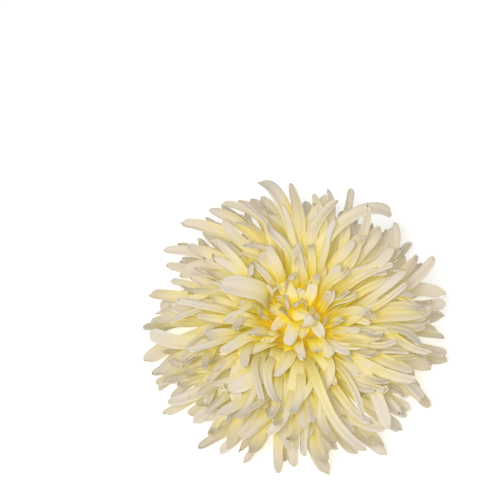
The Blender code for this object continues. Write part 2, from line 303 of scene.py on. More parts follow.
def mottle_group(name: str) -> bpy.types.NodeTree:
    """Soft uneven patches at two scales.

    Args:
        name: The group's name.

    Returns:
        A group that puts out Mask, about 0 to 1.
    """
    group, nodes = value_group(name, {"Size": 120.0, "Fine Size": 900.0, "Fine Share": 0.3}, ["Mask"])
    given = nodes.add("NodeGroupInput").outputs
    broad = nodes.add("ShaderNodeTexNoise", {"Vector": given["Vector"], "Scale": given["Size"], "Detail": 2.0})
    fine = nodes.add("ShaderNodeTexNoise", {"Vector": given["Vector"], "Scale": given["Fine Size"], "Detail": 3.0})
    part = nodes.math("MULTIPLY", nodes.math("SUBTRACT", fine.outputs[0], 0.5), given["Fine Share"])
    mask = nodes.smooth(nodes.math("ADD", broad.outputs[0], part), 0.3, 0.7)
    nodes.add("NodeGroupOutput", {"Mask": mask})
    return group


def new_material(name: str) -> tuple[bpy.types.Material, Nodes, bpy.types.Node]:
    """A material with its Principled shader at hand.

    Args:
        name: The material's name.

    Returns:
        The material, the helper for its tree and the shader node.
    """
    material = bpy.data.materials.new(name)
    material.use_nodes = True
    nodes = Nodes(material.node_tree)
    return material, nodes, material.node_tree.nodes["Principled BSDF"]


# Finishes


@dataclass(frozen=True)
class PetalFinish:
    """Heat-curled cream fabric, gold at the root of a petal and palest at its tip, with painted shade in its creases
    and hollows and a painted glow at its buried roots.
    """

    name: str
    root: Colour
    lower: Colour
    middle: Colour
    tip: Colour
    # Painted shade colours: one for the crease valleys, one for the hollows between petals, with how far the hollows
    # are looked for.
    shade: Colour = srgb(245, 235, 140)
    painted_fold_shade: Colour = srgb(253, 255, 138)
    fold_shade_reach: float = 0.006
    root_end: float = 0.10
    lower_end: float = 0.30
    middle_end: float = 0.62
    roughness: float = 0.52
    # Painted glow: colour and strength of the light that the buried roots give off.
    glow_tint: Colour = srgb(248, 214, 0)
    glow: float = 0.0

    def material(self) -> bpy.types.Material:
        """Builds the petal material from the pieces' own attributes.

        Returns:
            The material.
        """
        material, nodes, shader = new_material(self.name)
        along = nodes.add("ShaderNodeAttribute", attribute_name="along").outputs["Fac"]
        side = nodes.add("ShaderNodeAttribute", attribute_name="side").outputs["Fac"]
        petal = nodes.add("ShaderNodeAttribute", attribute_name="petal").outputs["Fac"]
        crease = nodes.add("ShaderNodeAttribute", attribute_name="crease").outputs["Fac"]
        cloth = nodes.add("ShaderNodeCombineXYZ", {0: along, 1: nodes.math("MULTIPLY", side, 0.07), 2: petal})
        streak_place = nodes.add(
            "ShaderNodeCombineXYZ",
            {0: nodes.math("MULTIPLY", along, 3.0), 1: nodes.math("MULTIPLY", side, 3.2),
             2: nodes.math("MULTIPLY", petal, 40.0)},
        )
        streak = nodes.add(
            "ShaderNodeTexNoise", {"Vector": streak_place.outputs[0], "Scale": 1.0, "Detail": 3.0}
        ).outputs[0]
        shift = nodes.math("MULTIPLY", nodes.math("SUBTRACT", streak, 0.5), 0.22)
        own = nodes.math("MULTIPLY", nodes.math("SUBTRACT", petal, 0.5), 0.16)
        place = nodes.math("ADD", along, nodes.math("ADD", shift, own))
        colour = nodes.ramp(
            place,
            [(0.0, self.root), (self.root_end, self.root), (self.lower_end, self.lower),
             (self.middle_end, self.middle), (0.92, self.tip)],
        )
        # Painted shade: the colour is darkened and yellowed along the valleys of the petal's creases, most towards the
        # root.
        deep = nodes.math("MULTIPLY", crease, nodes.math("SUBTRACT", 0.26, nodes.math("MULTIPLY", along, 0.2)))
        colour = nodes.mixed(deep, colour, self.shade, "MULTIPLY")
        mottle = Effect.MOTTLE.place(nodes, streak_place.outputs[0], Size=1.6, Fine_Size=9.0).outputs["Mask"]
        colour = nodes.mixed(nodes.math("MULTIPLY", mottle, 0.12), colour, srgb(246, 240, 226))
        # Painted shade: hollows between petals, found by ambient occlusion, are multiplied by the yellow fold shade
        # colour.
        open_sky = nodes.add("ShaderNodeAmbientOcclusion", {"Distance": self.fold_shade_reach}, samples=6).outputs["AO"]
        buried = nodes.math("SUBTRACT", 1.0, nodes.smooth(open_sky, 0.1, 0.85))
        colour = nodes.mixed(buried, colour, self.painted_fold_shade, "MULTIPLY")
        # Painted glow: the buried root parts of the petals give off a gold light, though they are no lamp.
        golden = nodes.math("SUBTRACT", 1.0, nodes.smooth(place, self.root_end, self.lower_end))
        emitted_glow = nodes.mixed(nodes.math("MULTIPLY", golden, buried), (0.0, 0.0, 0.0, 1.0), self.glow_tint)
        nodes.tree.links.new(emitted_glow, shader.inputs["Emission Color"])
        shader.inputs["Emission Strength"].default_value = self.glow
        nodes.tree.links.new(colour, shader.inputs["Base Color"])
        rough = nodes.add(
            "ShaderNodeMapRange", {"Value": mottle, "To Min": self.roughness - 0.08, "To Max": self.roughness + 0.1}
        )
        nodes.tree.links.new(rough.outputs["Result"], shader.inputs["Roughness"])
        weave = Effect.WEAVE.place(nodes, cloth.outputs[0], Threads=150.0).outputs["Height"]
        fold = nodes.math("ADD", nodes.math("MULTIPLY", streak, 1.6), nodes.math("MULTIPLY", weave, 0.12))
        bump = nodes.add("ShaderNodeBump", {"Height": fold, "Strength": 0.35, "Distance": 0.00035})
        nodes.tree.links.new(bump.outputs["Normal"], shader.inputs["Normal"])
        shader.inputs["Specular IOR Level"].default_value = 0.35
        shader.inputs["Sheen Weight"].default_value = 0.12
        shader.inputs["Sheen Roughness"].default_value = 0.5
        return material


@dataclass(frozen=True)
class SepalFinish:
    """Coated dark green leaf fabric with a pressed midrib and side veins."""

    name: str = "sepal_fabric_finish"
    face: Colour = srgb(52, 84, 40)
    dark: Colour = srgb(24, 48, 22)
    vein: Colour = srgb(96, 120, 66)
    roughness: float = 0.42
    vein_pairs: float = 7.0

    def material(self) -> bpy.types.Material:
        """Builds the leaf material from the piece's own attributes.

        Returns:
            The material.
        """
        material, nodes, shader = new_material(self.name)
        along = nodes.add("ShaderNodeAttribute", attribute_name="along").outputs["Fac"]
        side = nodes.add("ShaderNodeAttribute", attribute_name="side").outputs["Fac"]
        petal = nodes.add("ShaderNodeAttribute", attribute_name="petal").outputs["Fac"]
        width = nodes.math("ABSOLUTE", side)
        place = nodes.add("ShaderNodeCombineXYZ", {0: along, 1: side, 2: nodes.math("MULTIPLY", petal, 9.0)}).outputs[0]
        mottle = Effect.MOTTLE.place(nodes, place, Size=2.4, Fine_Size=16.0).outputs["Mask"]
        turns = nodes.math("SUBTRACT", nodes.math("MULTIPLY", along, self.vein_pairs), nodes.math("MULTIPLY", width, 1.6))
        wave = nodes.math("ABSOLUTE", nodes.math("SINE", nodes.math("MULTIPLY", turns, math.pi)))
        veins = nodes.math("SUBTRACT", 1.0, nodes.smooth(wave, 0.0, 0.22))
        midrib = nodes.math("SUBTRACT", 1.0, nodes.smooth(width, 0.01, 0.07))
        lines = nodes.math("MAXIMUM", nodes.math("MULTIPLY", veins, 0.45), midrib)
        colour = nodes.mixed(mottle, self.dark, self.face)
        colour = nodes.mixed(nodes.math("MULTIPLY", lines, 0.5), colour, self.vein)
        nodes.tree.links.new(colour, shader.inputs["Base Color"])
        rough = nodes.add(
            "ShaderNodeMapRange", {"Value": mottle, "To Min": self.roughness, "To Max": self.roughness + 0.16}
        )
        nodes.tree.links.new(rough.outputs["Result"], shader.inputs["Roughness"])
        weave = Effect.WEAVE.place(nodes, place, Threads=30.0).outputs["Height"]
        height = nodes.math("ADD", lines, nodes.math("MULTIPLY", weave, 0.12))
        bump = nodes.add("ShaderNodeBump", {"Height": height, "Strength": 0.6, "Distance": 0.0004})
        nodes.tree.links.new(bump.outputs["Normal"], shader.inputs["Normal"])
        shader.inputs["Specular IOR Level"].default_value = 0.5
        shader.inputs["Sheen Weight"].default_value = 0.08
        return material


@dataclass(frozen=True)
class PlasticFinish:
    """Moulded green plastic with a soft gloss, faint flow marks and paler towards its outer ends."""

    name: str = "green_plastic_finish"
    face: Colour = srgb(58, 116, 48)
    pale: Colour = srgb(116, 150, 78)
    roughness: float = 0.33

    def material(self) -> bpy.types.Material:
        """Builds the plastic material.

        Returns:
            The material.
        """
        material, nodes, shader = new_material(self.name)
        place = nodes.add("ShaderNodeTexCoord").outputs["Object"]
        mottle = Effect.MOTTLE.place(nodes, place, Size=260.0, Fine_Size=2400.0).outputs["Mask"]
        reach = nodes.add("ShaderNodeVectorMath", {0: place}, operation="LENGTH").outputs["Value"]
        # Paler the farther a point lies from the moulding's centre, between 11 and 21 mm.
        outer = nodes.smooth(reach, 0.011, 0.021)
        colour = nodes.mixed(nodes.math("MULTIPLY", mottle, 0.25), self.face, self.pale)
        colour = nodes.mixed(nodes.math("MULTIPLY", outer, 0.7), colour, self.pale)
        nodes.tree.links.new(colour, shader.inputs["Base Color"])
        rough = nodes.add(
            "ShaderNodeMapRange", {"Value": mottle, "To Min": self.roughness - 0.06, "To Max": self.roughness + 0.1}
        )
        nodes.tree.links.new(rough.outputs["Result"], shader.inputs["Roughness"])
        bump = nodes.add("ShaderNodeBump", {"Height": mottle, "Strength": 0.15, "Distance": 0.0001})
        nodes.tree.links.new(bump.outputs["Normal"], shader.inputs["Normal"])
        shader.inputs["Subsurface Weight"].default_value = 0.08
        shader.inputs["Subsurface Scale"].default_value = 0.001
        return material


@dataclass(frozen=True)
class FloorFinish:
    """Plain pale paper that the flower lies on."""

    name: str = "pale_floor_finish"
    face: Colour = (0.93, 0.93, 0.925, 1.0)
    roughness: float = 0.75
    emitted_glow: float = 0.25

    def material(self) -> bpy.types.Material:
        """Builds the floor material.

        Returns:
            The material.
        """
        material, nodes, shader = new_material(self.name)
        place = nodes.add("ShaderNodeTexCoord").outputs["Object"]
        mottle = Effect.MOTTLE.place(nodes, place, Size=9.0, Fine_Size=60.0).outputs["Mask"]
        colour = nodes.mixed(nodes.math("MULTIPLY", mottle, 0.05), self.face, (0.88, 0.88, 0.875, 1.0))
        nodes.tree.links.new(colour, shader.inputs["Base Color"])
        shader.inputs["Roughness"].default_value = self.roughness
        shader.inputs["Emission Color"].default_value = (1.0, 1.0, 1.0, 1.0)
        shader.inputs["Emission Strength"].default_value = self.emitted_glow
        return material


# Petals by rule

STATIONS = 60  # steps along a petal in which its bends are added up
BLADE = 0.7  # thickness of the solids' blades, mm
DISC = 1.0  # thickness of the disc that a layer's petals grow from, mm
GAP = 0.3  # clear space between two pieces that touch, mm
ROOT_SUNK = 1.6  # how far a petal's root reaches into its disc, mm
ROOT_STRAIGHT = 1.9  # length of its straight start, mm
ROOT_SHARE = 0.88  # how much of the rim the petals' roots take up
LEAVE_RUN = 2.5  # length over which a petal turns up from its disc, mm
UPRIGHT = 75.0  # a petal that leaves steeper than this grows from the top of its disc, degrees
RECLINE_FROM = 0.25  # share of a petal's length from which it bends back
RECLINE_RUN = 0.4  # share of the length over which it does
HOOK_FROM = 0.74  # share of the length from which its tip turns up
TWIST_FROM = 0.25  # share of the length from which it twists
SWELL_RUN = 0.38  # share of the length over which it widens
NARROW_FROM = 0.8  # share of the length from which it narrows
CUP_FROM = 0.12  # share of the length from which its edges rise
CUP_RUN = 0.35  # share of the length over which they do
TIP_ROUND = 0.04  # how far the corners of a solid's tip lie behind its middle, as a share of the length
TURN_JITTER = 1.5  # greatest random turn of a petal round the flower, degrees
LONGEST = 1.04  # as a share of the layer's length
WIDTH_RANGE = (0.78, 1.28)  # as shares of the layer's width
RECLINE_RANGE = (-0.5, 2.5)  # as shares of the layer's recline
HEART_RECLINE_RANGE = (0.0, 1.3)  # the same in the heart's inner row
HOOK_POWER = 2.0  # the higher, the fewer tips hook strongly
HOOK_LEAST = 8.0  # how far the straightest tip hangs, degrees
CUP_RANGE = (0.05, 0.14)  # height of a petal's edges as a share of its width
TIP_WIDEST = 0.95  # greatest width of a tip as a share of the greatest width
WAVES = 3  # times that the petals' sideways turn swings round the flower
WAVE_SHARE = 0.6  # the part of the sideways turn that swings so, the rest being random
SWEPT_AT = 125.0  # azimuth round which all petals are swept to one side and arch over
SWEPT_TURN = 50.0  # greatest sideways turn there, degrees
SWEPT_RISE = 8.0  # greatest extra rise there, degrees
SWEPT_FALL = 36.0  # greatest extra recline there, degrees
FOOT_PETALS = (2, 12, 22)  # petals of the back layer that the flower lies on
FOOT_BEND = {"rise": -4.0, "recline": 38.0, "hook": 72.0, "hook_from": 0.5, "sway": 0.0, "twist": 0.0}
FOOT_CLEAR = 0.15  # height of their lowest points over the surface, mm
SURFACE_CLEAR = 0.8  # least height of every other petal over the surface, mm
TIP_TAPER = 0.5  # how much of a solid's narrowing towards the tip the fabric has, the rest being its round end
TIP_POWER = 2.3  # the higher, the squarer a tip's round end
THINNEST = 0.2  # half the width that a petal's tip keeps at its very end, mm
FLAT_ROWS = (0.0, 0.16, 0.42, 0.66, 0.84, 1.0)
BENT_ROWS = (0.0, 0.07, 0.24, 0.52, 0.8, 1.0)
HEART_ROWS = (0.0, 0.13, 0.4, 0.66, 0.86, 1.0)


@dataclass(frozen=True)
class Station:
    """One place on a petal's centre line, in mm, with its directions and the section there."""

    place: Vector
    across: Vector
    up: Vector
    half_width: float
    lift: float
    along: float


@dataclass(frozen=True)
class Petal:
    """One petal by rule. Lengths are in millimetres and angles in degrees."""

    azimuth: float
    root_radius: float
    height: float
    length: float
    width: float
    leave: float
    rise: float
    recline: float
    hook: float
    sway: float
    twist: float
    cup: float
    tip: float
    root_width: float
    bend: float = 7.0
    recline_from: float = RECLINE_FROM
    hook_from: float = HOOK_FROM
    wiggle: float = 0.0
    nod: float = 0.0
    waves: float = 1.2
    phase: float = 0.0
    fade: float = 1.0

    def line(self) -> list[tuple[Vector, Vector, Vector]]:
        """The centre line with its directions, one entry for each step.

        Returns:
            Place, across and up for each of the steps.
        """
        angle = math.radians(self.azimuth)
        outward = Vector((math.cos(angle), math.sin(angle), 0.0))
        sideways = Vector((-math.sin(angle), math.cos(angle), 0.0))
        upward = Vector((0.0, 0.0, 1.0))
        place = outward * self.root_radius + upward * self.height
        step = self.length / STATIONS
        found = []
        for index in range(STATIONS + 1):
            share = index / STATIONS
            run = share * self.length
            slope = self.leave * (1.0 if self.leave > UPRIGHT else ease((run - ROOT_STRAIGHT) / LEAVE_RUN))
            slope += (self.rise - self.leave) * ease((run - ROOT_STRAIGHT) / self.bend)
            slope -= self.recline * ease((share - self.recline_from) / RECLINE_RUN)
            slope += self.hook * ease((share - self.hook_from) / (1.0 - self.hook_from))
            wave = 2.0 * math.pi * self.waves * share + self.phase
            slope = math.radians(slope + self.nod * share * math.cos(wave))
            turn = math.radians(self.sway * share * share + self.wiggle * share * math.sin(wave))
            flat = outward * math.cos(turn) + sideways * math.sin(turn)
            along = flat * math.cos(slope) + upward * math.sin(slope)
            across = sideways * math.cos(turn) - outward * math.sin(turn)
            up = along.cross(across)
            roll = math.radians(self.twist) * ease((share - TWIST_FROM) / (1.0 - TWIST_FROM))
            found.append(
                (
                    place.copy(),
                    across * math.cos(roll) + up * math.sin(roll),
                    up * math.cos(roll) - across * math.sin(roll),
                )
            )
            place += along * step
        return found

    def half_width(self, share: float) -> float:
        """Half the petal's width at a share of its length, in mm.

        Args:
            share: Place along the petal, 0 to 1.

        Returns:
            Half the width.
        """
        swelling = self.root_width + (self.width - self.root_width) * ease(share / SWELL_RUN)
        narrowing = 1.0 - TIP_TAPER * (1.0 - self.tip) * ease((share - NARROW_FROM) / (1.0 - NARROW_FROM))
        return 0.5 * swelling * narrowing

    def lift(self, share: float) -> float:
        """How far the petal's edges stand over its middle at a share of its length, in mm.

        Args:
            share: Place along the petal, 0 to 1.

        Returns:
            The height of the edges.
        """
        return self.cup * self.width * ease((share - CUP_FROM) / CUP_RUN)

    def draw_up(self, rows: tuple[float, ...], foot: bool) -> float:
        """How much the petal's heights below its root are scaled so that it clears or meets the surface.

        Args:
            rows: The shares at which the petal's solid has its points.
            foot: True for a petal that the flower lies on.

        Returns:
            The scale of its heights, counted from the root.
        """
        line = self.line()
        lowest = math.inf
        for row in rows:
            for side in (-1.0, 0.0, 1.0):
                share = row - (TIP_ROUND if row == rows[-1] and side else 0.0)
                place, across, up = line[round(share * STATIONS)]
                edge = place + across * side * self.half_width(share) + up * self.lift(share) * abs(side)
                lowest = min(lowest, edge.z)
        level = (FOOT_CLEAR if foot else SURFACE_CLEAR) + 0.5 * BLADE
        if foot or lowest < level:
            return (self.height - level) / (self.height - lowest)
        return 1.0

    def stations(self, count: int, tip_length: float, height_scale: float) -> list[Station]:
        """The places that a fine petal is swept through, closer together towards its round tip.

        Args:
            count: Number of places.
            tip_length: Length over which the tip rounds off, in mm.
            height_scale: Scale of the heights, counted from the root.

        Returns:
            The places in order from root to tip.
        """
        line = self.line()
        found = []
        tip_from = 1.0 - tip_length / self.length
        for index in range(count):
            share = math.sin(0.5 * math.pi * index / (count - 1)) ** 0.9
            whole = share * STATIONS
            low = min(int(whole), STATIONS - 1)
            part = whole - low
            place, across, up = (line[low][i].lerp(line[low + 1][i], part) for i in range(3))
            place.z = self.height + (place.z - self.height) * height_scale
            past = max(0.0, (share - tip_from) / (1.0 - tip_from))
            round_off = max(0.0, 1.0 - past**TIP_POWER) ** (1.0 / TIP_POWER)
            half = max(self.half_width(share) * round_off, THINNEST)
            lift, colour_place = self.lift(share) * round_off, share**self.fade
            found.append(Station(place, across.normalized(), up.normalized(), half, lift, colour_place))
        return found


@dataclass(frozen=True)
class Layer:
    """One fabric layer's sizes. Lengths are in millimetres and angles in degrees above the horizontal."""

    name: str
    seed: int
    petals: int
    turn: float
    disc_radius: float
    disc_height: float
    length: float
    width: float
    tip: float
    rows: tuple[float, ...]
    leave: float
    rise: float
    recline: float
    hook: float
    loose: float
    lean: float = 0.0
    fold: float = 0.0
    fold_from: float = 0.45
    arch: float = 0.0
    shortest: float = 0.75
    sway: float = 38.0
    twist: float = 70.0
    cups: tuple[float, float] = CUP_RANGE
    jitter: float = TURN_JITTER
    droop: float = 0.0
    between: int = 0
    between_width: float = 0.68
    between_length: float = 0.97
    fade: float = 1.0

    def petals_by_rule(self, features: dict[tuple[str, int], dict[str, float]]) -> list[Petal]:
        """The layer's petals, drawn from its own seed.

        Args:
            features: Values of single petals that lie unlike their neighbours.

        Returns:
            The petals in order round the flower.
        """
        draw = random.Random(self.seed)
        swing = draw.uniform(0.0, 360.0)
        inner = self.leave > UPRIGHT
        found = []
        for index in range(self.petals):
            azimuth = self.turn + 360.0 * index / self.petals
            side = math.sin(math.radians(azimuth))
            wave = math.sin(math.radians(WAVES * azimuth + swing))
            swept = max(math.cos(math.radians(azimuth - SWEPT_AT)), 0.0) ** 2
            petal = Petal(
                azimuth=azimuth + draw.uniform(-self.jitter, self.jitter),
                root_radius=self.disc_radius - (0.0 if inner else ROOT_SUNK),
                height=self.disc_height,
                length=self.length * draw.uniform(self.shortest, LONGEST),
                width=self.width * draw.uniform(*WIDTH_RANGE),
                leave=self.leave,
                rise=self.rise
                + self.lean * side
                + SWEPT_RISE * self.arch * swept
                + draw.uniform(-self.loose, self.loose),
                recline=self.recline * draw.uniform(*(HEART_RECLINE_RANGE if inner else RECLINE_RANGE))
                + SWEPT_FALL * self.arch * swept
                + self.fold * max(-side, 0.0) ** 2
                + self.droop,
                hook=self.hook * draw.random() ** HOOK_POWER - HOOK_LEAST + self.fold * max(side, 0.0) ** 2,
                sway=SWEPT_TURN * swept
                + self.sway * (WAVE_SHARE * wave + (1.0 - WAVE_SHARE) * draw.uniform(-1.0, 1.0)),
                twist=draw.uniform(-self.twist, self.twist),
                cup=draw.uniform(*self.cups),
                tip=draw.uniform(self.tip, TIP_WIDEST),
                root_width=ROOT_SHARE * 2.0 * math.pi * self.disc_radius / self.petals,
                recline_from=self.fold_from if self.fold else RECLINE_FROM,
                hook_from=self.fold_from if inner else HOOK_FROM,
                fade=self.fade,
            )
            found.append(replace(petal, **features.get((self.name, index), {})))
        return found

    def strays(self) -> list[Petal]:
        """The looser petals that fill the spaces between the regular ones.

        Returns:
            The petals in order round the flower.
        """
        rule = replace(
            self,
            seed=self.seed + 7,
            petals=self.between,
            turn=self.turn + 4.0,
            length=self.between_length * self.length,
            shortest=max(self.shortest, 0.75),
            width=self.between_width * self.width,
            rise=self.rise + 4.0,
            droop=self.droop + 6.0,
            loose=self.loose + 5.0,
            hook=70.0,
            sway=75.0,
            twist=60.0,
            cups=(0.0, 0.1),
            jitter=6.0,
        )
        return rule.petals_by_rule({})


# Sweeping blades


def set_input(modifier: bpy.types.NodesModifier, label: str, value: object) -> None:
    """Sets a Geometry Nodes modifier's input by its socket's identifier.

    Args:
        modifier: The modifier.
        label: The input's name.
        value: What it is set to.
    """
    for item in modifier.node_group.interface.items_tree:
        if item.item_type == "SOCKET" and item.in_out == "INPUT" and item.name == label:
            modifier[item.identifier] = value
            return
    raise KeyError(label)


def geometry_tree(name: str, inputs: list[tuple[str, str, object]]) -> tuple[bpy.types.NodeTree, Nodes]:
    """An empty Geometry Nodes tree with named inputs.

    Args:
        name: The tree's name.
        inputs: Name, socket type and usual value of each input after the geometry.

    Returns:
        The tree and the helper that fills it.
    """
    tree = bpy.data.node_groups.new(name, "GeometryNodeTree")
    tree.interface.new_socket("Geometry", in_out="INPUT", socket_type="NodeSocketGeometry")
    for label, kind, value in inputs:
        socket = tree.interface.new_socket(label, in_out="INPUT", socket_type=kind)
        if value is not None:
            socket.default_value = value
    tree.interface.new_socket("Geometry", in_out="OUTPUT", socket_type="NodeSocketGeometry")
    return tree, Nodes(tree)


class BladeSweep:
    """The Geometry Nodes tree that turns guide lines into thin closed blades with creases and uneven edges."""

    NAME = "blade_sweep"

    @classmethod
    def tree(cls) -> bpy.types.NodeTree:
        """The tree, built the first time it is asked for.

        Returns:
            The geometry node tree.
        """
        found = bpy.data.node_groups.get(cls.NAME)
        if found:
            return found
        tree, nodes = geometry_tree(
            cls.NAME,
            [
                ("Section Points", "NodeSocketInt", 22),
                ("Thickness", "NodeSocketFloat", 0.0004),
                ("Crease Depth", "NodeSocketFloat", 0.0003),
                ("Crease Count", "NodeSocketFloat", 2.0),
                ("Edge Wave", "NodeSocketFloat", 0.0005),
                ("Wave Turns", "NodeSocketFloat", 4.0),
                ("Ragged Tip", "NodeSocketFloat", 0.0015),
                ("Seed", "NodeSocketFloat", 1.0),
                ("Finish", "NodeSocketMaterial", None),
            ],
        )
        given = nodes.add("NodeGroupInput").outputs

        def stored(geometry: bpy.types.NodeSocket, label: str, value: bpy.types.NodeSocket,
                   kind: str = "FLOAT") -> bpy.types.NodeSocket:
            """Adds a Store Named Attribute node and gives its geometry."""
            node = nodes.add(
                "GeometryNodeStoreNamedAttribute",
                {"Geometry": geometry, "Name": label, "Value": value},
                data_type=kind,
                domain="POINT",
            )
            return node.outputs["Geometry"]

        def named(label: str, kind: str = "FLOAT") -> bpy.types.NodeSocket:
            """Adds a Named Attribute node and gives its value."""
            return nodes.add("GeometryNodeInputNamedAttribute", {"Name": label}, data_type=kind).outputs["Attribute"]

        position = nodes.add("GeometryNodeInputPosition").outputs[0]
        guides = stored(given["Geometry"], "centre", position, "FLOAT_VECTOR")
        rails = nodes.add("GeometryNodeMeshToCurve", {"Mesh": guides}).outputs[0]
        ring = nodes.add("GeometryNodeCurvePrimitiveCircle", {"Resolution": given["Section Points"], "Radius": 1.0})
        corner = nodes.add("ShaderNodeSeparateXYZ", {0: position})
        section = stored(ring.outputs["Curve"], "side", corner.outputs["X"])
        section = stored(section, "face", corner.outputs["Y"])
        swept = nodes.add(
            "GeometryNodeCurveToMesh", {"Curve": rails, "Profile Curve": section, "Fill Caps": True}
        ).outputs[0]

        side, along, petal = named("side"), named("along"), named("petal")
        width = nodes.math("ABSOLUTE", side)
        grown = nodes.smooth(along, 0.04, 0.45)
        phase = nodes.math("MULTIPLY", petal, 2.0 * math.pi)
        turns = nodes.math("MULTIPLY", nodes.math("MULTIPLY", side, given["Crease Count"]), math.pi)
        fold = nodes.math("COSINE", nodes.math("ADD", turns, nodes.math("MULTIPLY", phase, 0.5)))
        crease = nodes.math("MULTIPLY", nodes.math("MULTIPLY", fold, given["Crease Depth"]), grown)
        ripple_place = nodes.add(
            "ShaderNodeCombineXYZ",
            {0: nodes.math("MULTIPLY", along, given["Wave Turns"]), 1: side,
             2: nodes.math("ADD", nodes.math("MULTIPLY", petal, 31.0), given["Seed"])},
        ).outputs[0]
        ripple = nodes.add("ShaderNodeTexNoise", {"Vector": ripple_place, "Scale": 1.0, "Detail": 1.5}).outputs[0]
        ripple = nodes.math("MULTIPLY", nodes.math("SUBTRACT", ripple, 0.5), 2.0)
        edge = nodes.math("MULTIPLY", nodes.math("POWER", width, 1.5), nodes.math("MULTIPLY", ripple, given["Edge Wave"]))
        edge = nodes.math("MULTIPLY", edge, grown)
        cup = nodes.math("MULTIPLY", nodes.math("POWER", width, 1.6), named("lift"))
        thick = nodes.math("MULTIPLY", nodes.math("MULTIPLY", named("face"), given["Thickness"]), 0.5)
        height = nodes.math("ADD", nodes.math("ADD", crease, edge), nodes.math("ADD", cup, thick))
        wobble_place = nodes.add(
            "ShaderNodeCombineXYZ",
            {0: nodes.math("MULTIPLY", along, 3.5), 1: nodes.math("MULTIPLY", side, 0.8),
             2: nodes.math("ADD", nodes.math("MULTIPLY", petal, 57.0), given["Seed"])},
        ).outputs[0]
        wobble = nodes.add("ShaderNodeTexNoise", {"Vector": wobble_place, "Scale": 1.0, "Detail": 1.0}).outputs[0]
        wobble = nodes.math("MULTIPLY", nodes.math("SUBTRACT", wobble, 0.5), nodes.math("MULTIPLY", grown, 0.7))
        broad = nodes.math("MULTIPLY", named("half_width"), nodes.math("ADD", 1.0, wobble))
        sideways = nodes.math("MULTIPLY", side, broad)
        across, up = named("across", "FLOAT_VECTOR"), named("up", "FLOAT_VECTOR")
        ahead = nodes.add("ShaderNodeVectorMath", {0: across, 1: up}, operation="CROSS_PRODUCT").outputs[0]
        torn_place = nodes.add(
            "ShaderNodeCombineXYZ",
            {0: nodes.math("MULTIPLY", side, 1.3), 1: nodes.math("MULTIPLY", petal, 83.0), 2: given["Seed"]},
        ).outputs[0]
        torn = nodes.add("ShaderNodeTexNoise", {"Vector": torn_place, "Scale": 1.0, "Detail": 2.0}).outputs[0]
        torn = nodes.math("MULTIPLY", nodes.math("SUBTRACT", torn, 0.5), 2.0)
        torn = nodes.math("MULTIPLY", torn, nodes.math("MULTIPLY", given["Ragged Tip"], nodes.smooth(along, 0.88, 1.0)))
        moved = nodes.summed(
            nodes.summed(named("centre", "FLOAT_VECTOR"), nodes.scaled(ahead, torn)),
            nodes.summed(nodes.scaled(across, sideways), nodes.scaled(up, height)),
        )
        shaped = nodes.add("GeometryNodeSetPosition", {"Geometry": swept, "Position": moved}).outputs[0]
        # Valleys of the creases, kept as the crease attribute for the petals' painted shade.
        valley = nodes.math("MULTIPLY", nodes.math("SUBTRACT", 0.5, nodes.math("MULTIPLY", fold, 0.5)), grown)
        shaped = stored(shaped, "crease", valley)
        for label in ("centre", "across", "up", "half_width", "lift", "face"):
            shaped = nodes.add("GeometryNodeRemoveAttribute", {"Geometry": shaped, "Name": label}).outputs[0]
        smooth = nodes.add("GeometryNodeSetShadeSmooth", {"Geometry": shaped}).outputs[0]
        real = nodes.add("GeometryNodeRealizeInstances", {"Geometry": smooth}).outputs[0]
        dressed = nodes.add("GeometryNodeSetMaterial", {"Geometry": real, "Material": given["Finish"]}).outputs[0]
        nodes.add("NodeGroupOutput", {"Geometry": dressed})
        return tree


def guide_mesh(name: str, blades: list[tuple[list[Station], float]]) -> bpy.types.Mesh:
    """Guide lines for the blade sweep, with a blade's section stored at each of their points.

    Args:
        name: The mesh's name.
        blades: Each blade's stations and its own number from 0 to 1.

    Returns:
        A mesh of edges in metres.
    """
    points: list[tuple[float, float, float]] = []
    edges: list[tuple[int, int]] = []
    values: dict[str, list[float]] = {"half_width": [], "lift": [], "along": [], "petal": []}
    directions: dict[str, list[float]] = {"across": [], "up": []}
    for stations, number in blades:
        for index, station in enumerate(stations):
            if index:
                edges.append((len(points) - 1, len(points)))
            points.append(tuple(station.place * MM))
            values["half_width"].append(station.half_width * MM)
            values["lift"].append(station.lift * MM)
            values["along"].append(station.along)
            values["petal"].append(number)
            directions["across"].extend(station.across)
            directions["up"].extend(station.up)
    mesh = bpy.data.meshes.new(name)
    mesh.from_pydata(points, edges, [])
    for label, numbers in values.items():
        mesh.attributes.new(label, "FLOAT", "POINT").data.foreach_set("value", numbers)
    for label, numbers in directions.items():
        mesh.attributes.new(label, "FLOAT_VECTOR", "POINT").data.foreach_set("vector", numbers)
    return mesh


def plain_mesh(obj: bpy.types.Object) -> bpy.types.Mesh:
    """An object's evaluated mesh, with the object and its first mesh removed.

    Args:
        obj: The object whose modifiers are to be applied.

    Returns:
        The plain mesh.
    """
    graph = bpy.context.evaluated_depsgraph_get()
    mesh = bpy.data.meshes.new_from_object(obj.evaluated_get(graph))
    first = obj.data
    bpy.data.objects.remove(obj, do_unlink=True)
    bpy.data.meshes.remove(first)
    return mesh


def swept_blades(name: str, blades: list[tuple[list[Station], float]], sizes: dict[str, object]) -> bpy.types.Mesh:
    """Blades swept along their guide lines.

    Args:
        name: The mesh's name.
        blades: Each blade's stations and its own number.
        sizes: Inputs of the sweep by name.

    Returns:
        The plain mesh of all blades.
    """
    obj = bpy.data.objects.new(name, guide_mesh(name, blades))
    bpy.context.scene.collection.objects.link(obj)
    modifier = obj.modifiers.new("sweep", "NODES")
    modifier.node_group = BladeSweep.tree()
    for label, value in sizes.items():
        set_input(modifier, label, value)
    return plain_mesh(obj)


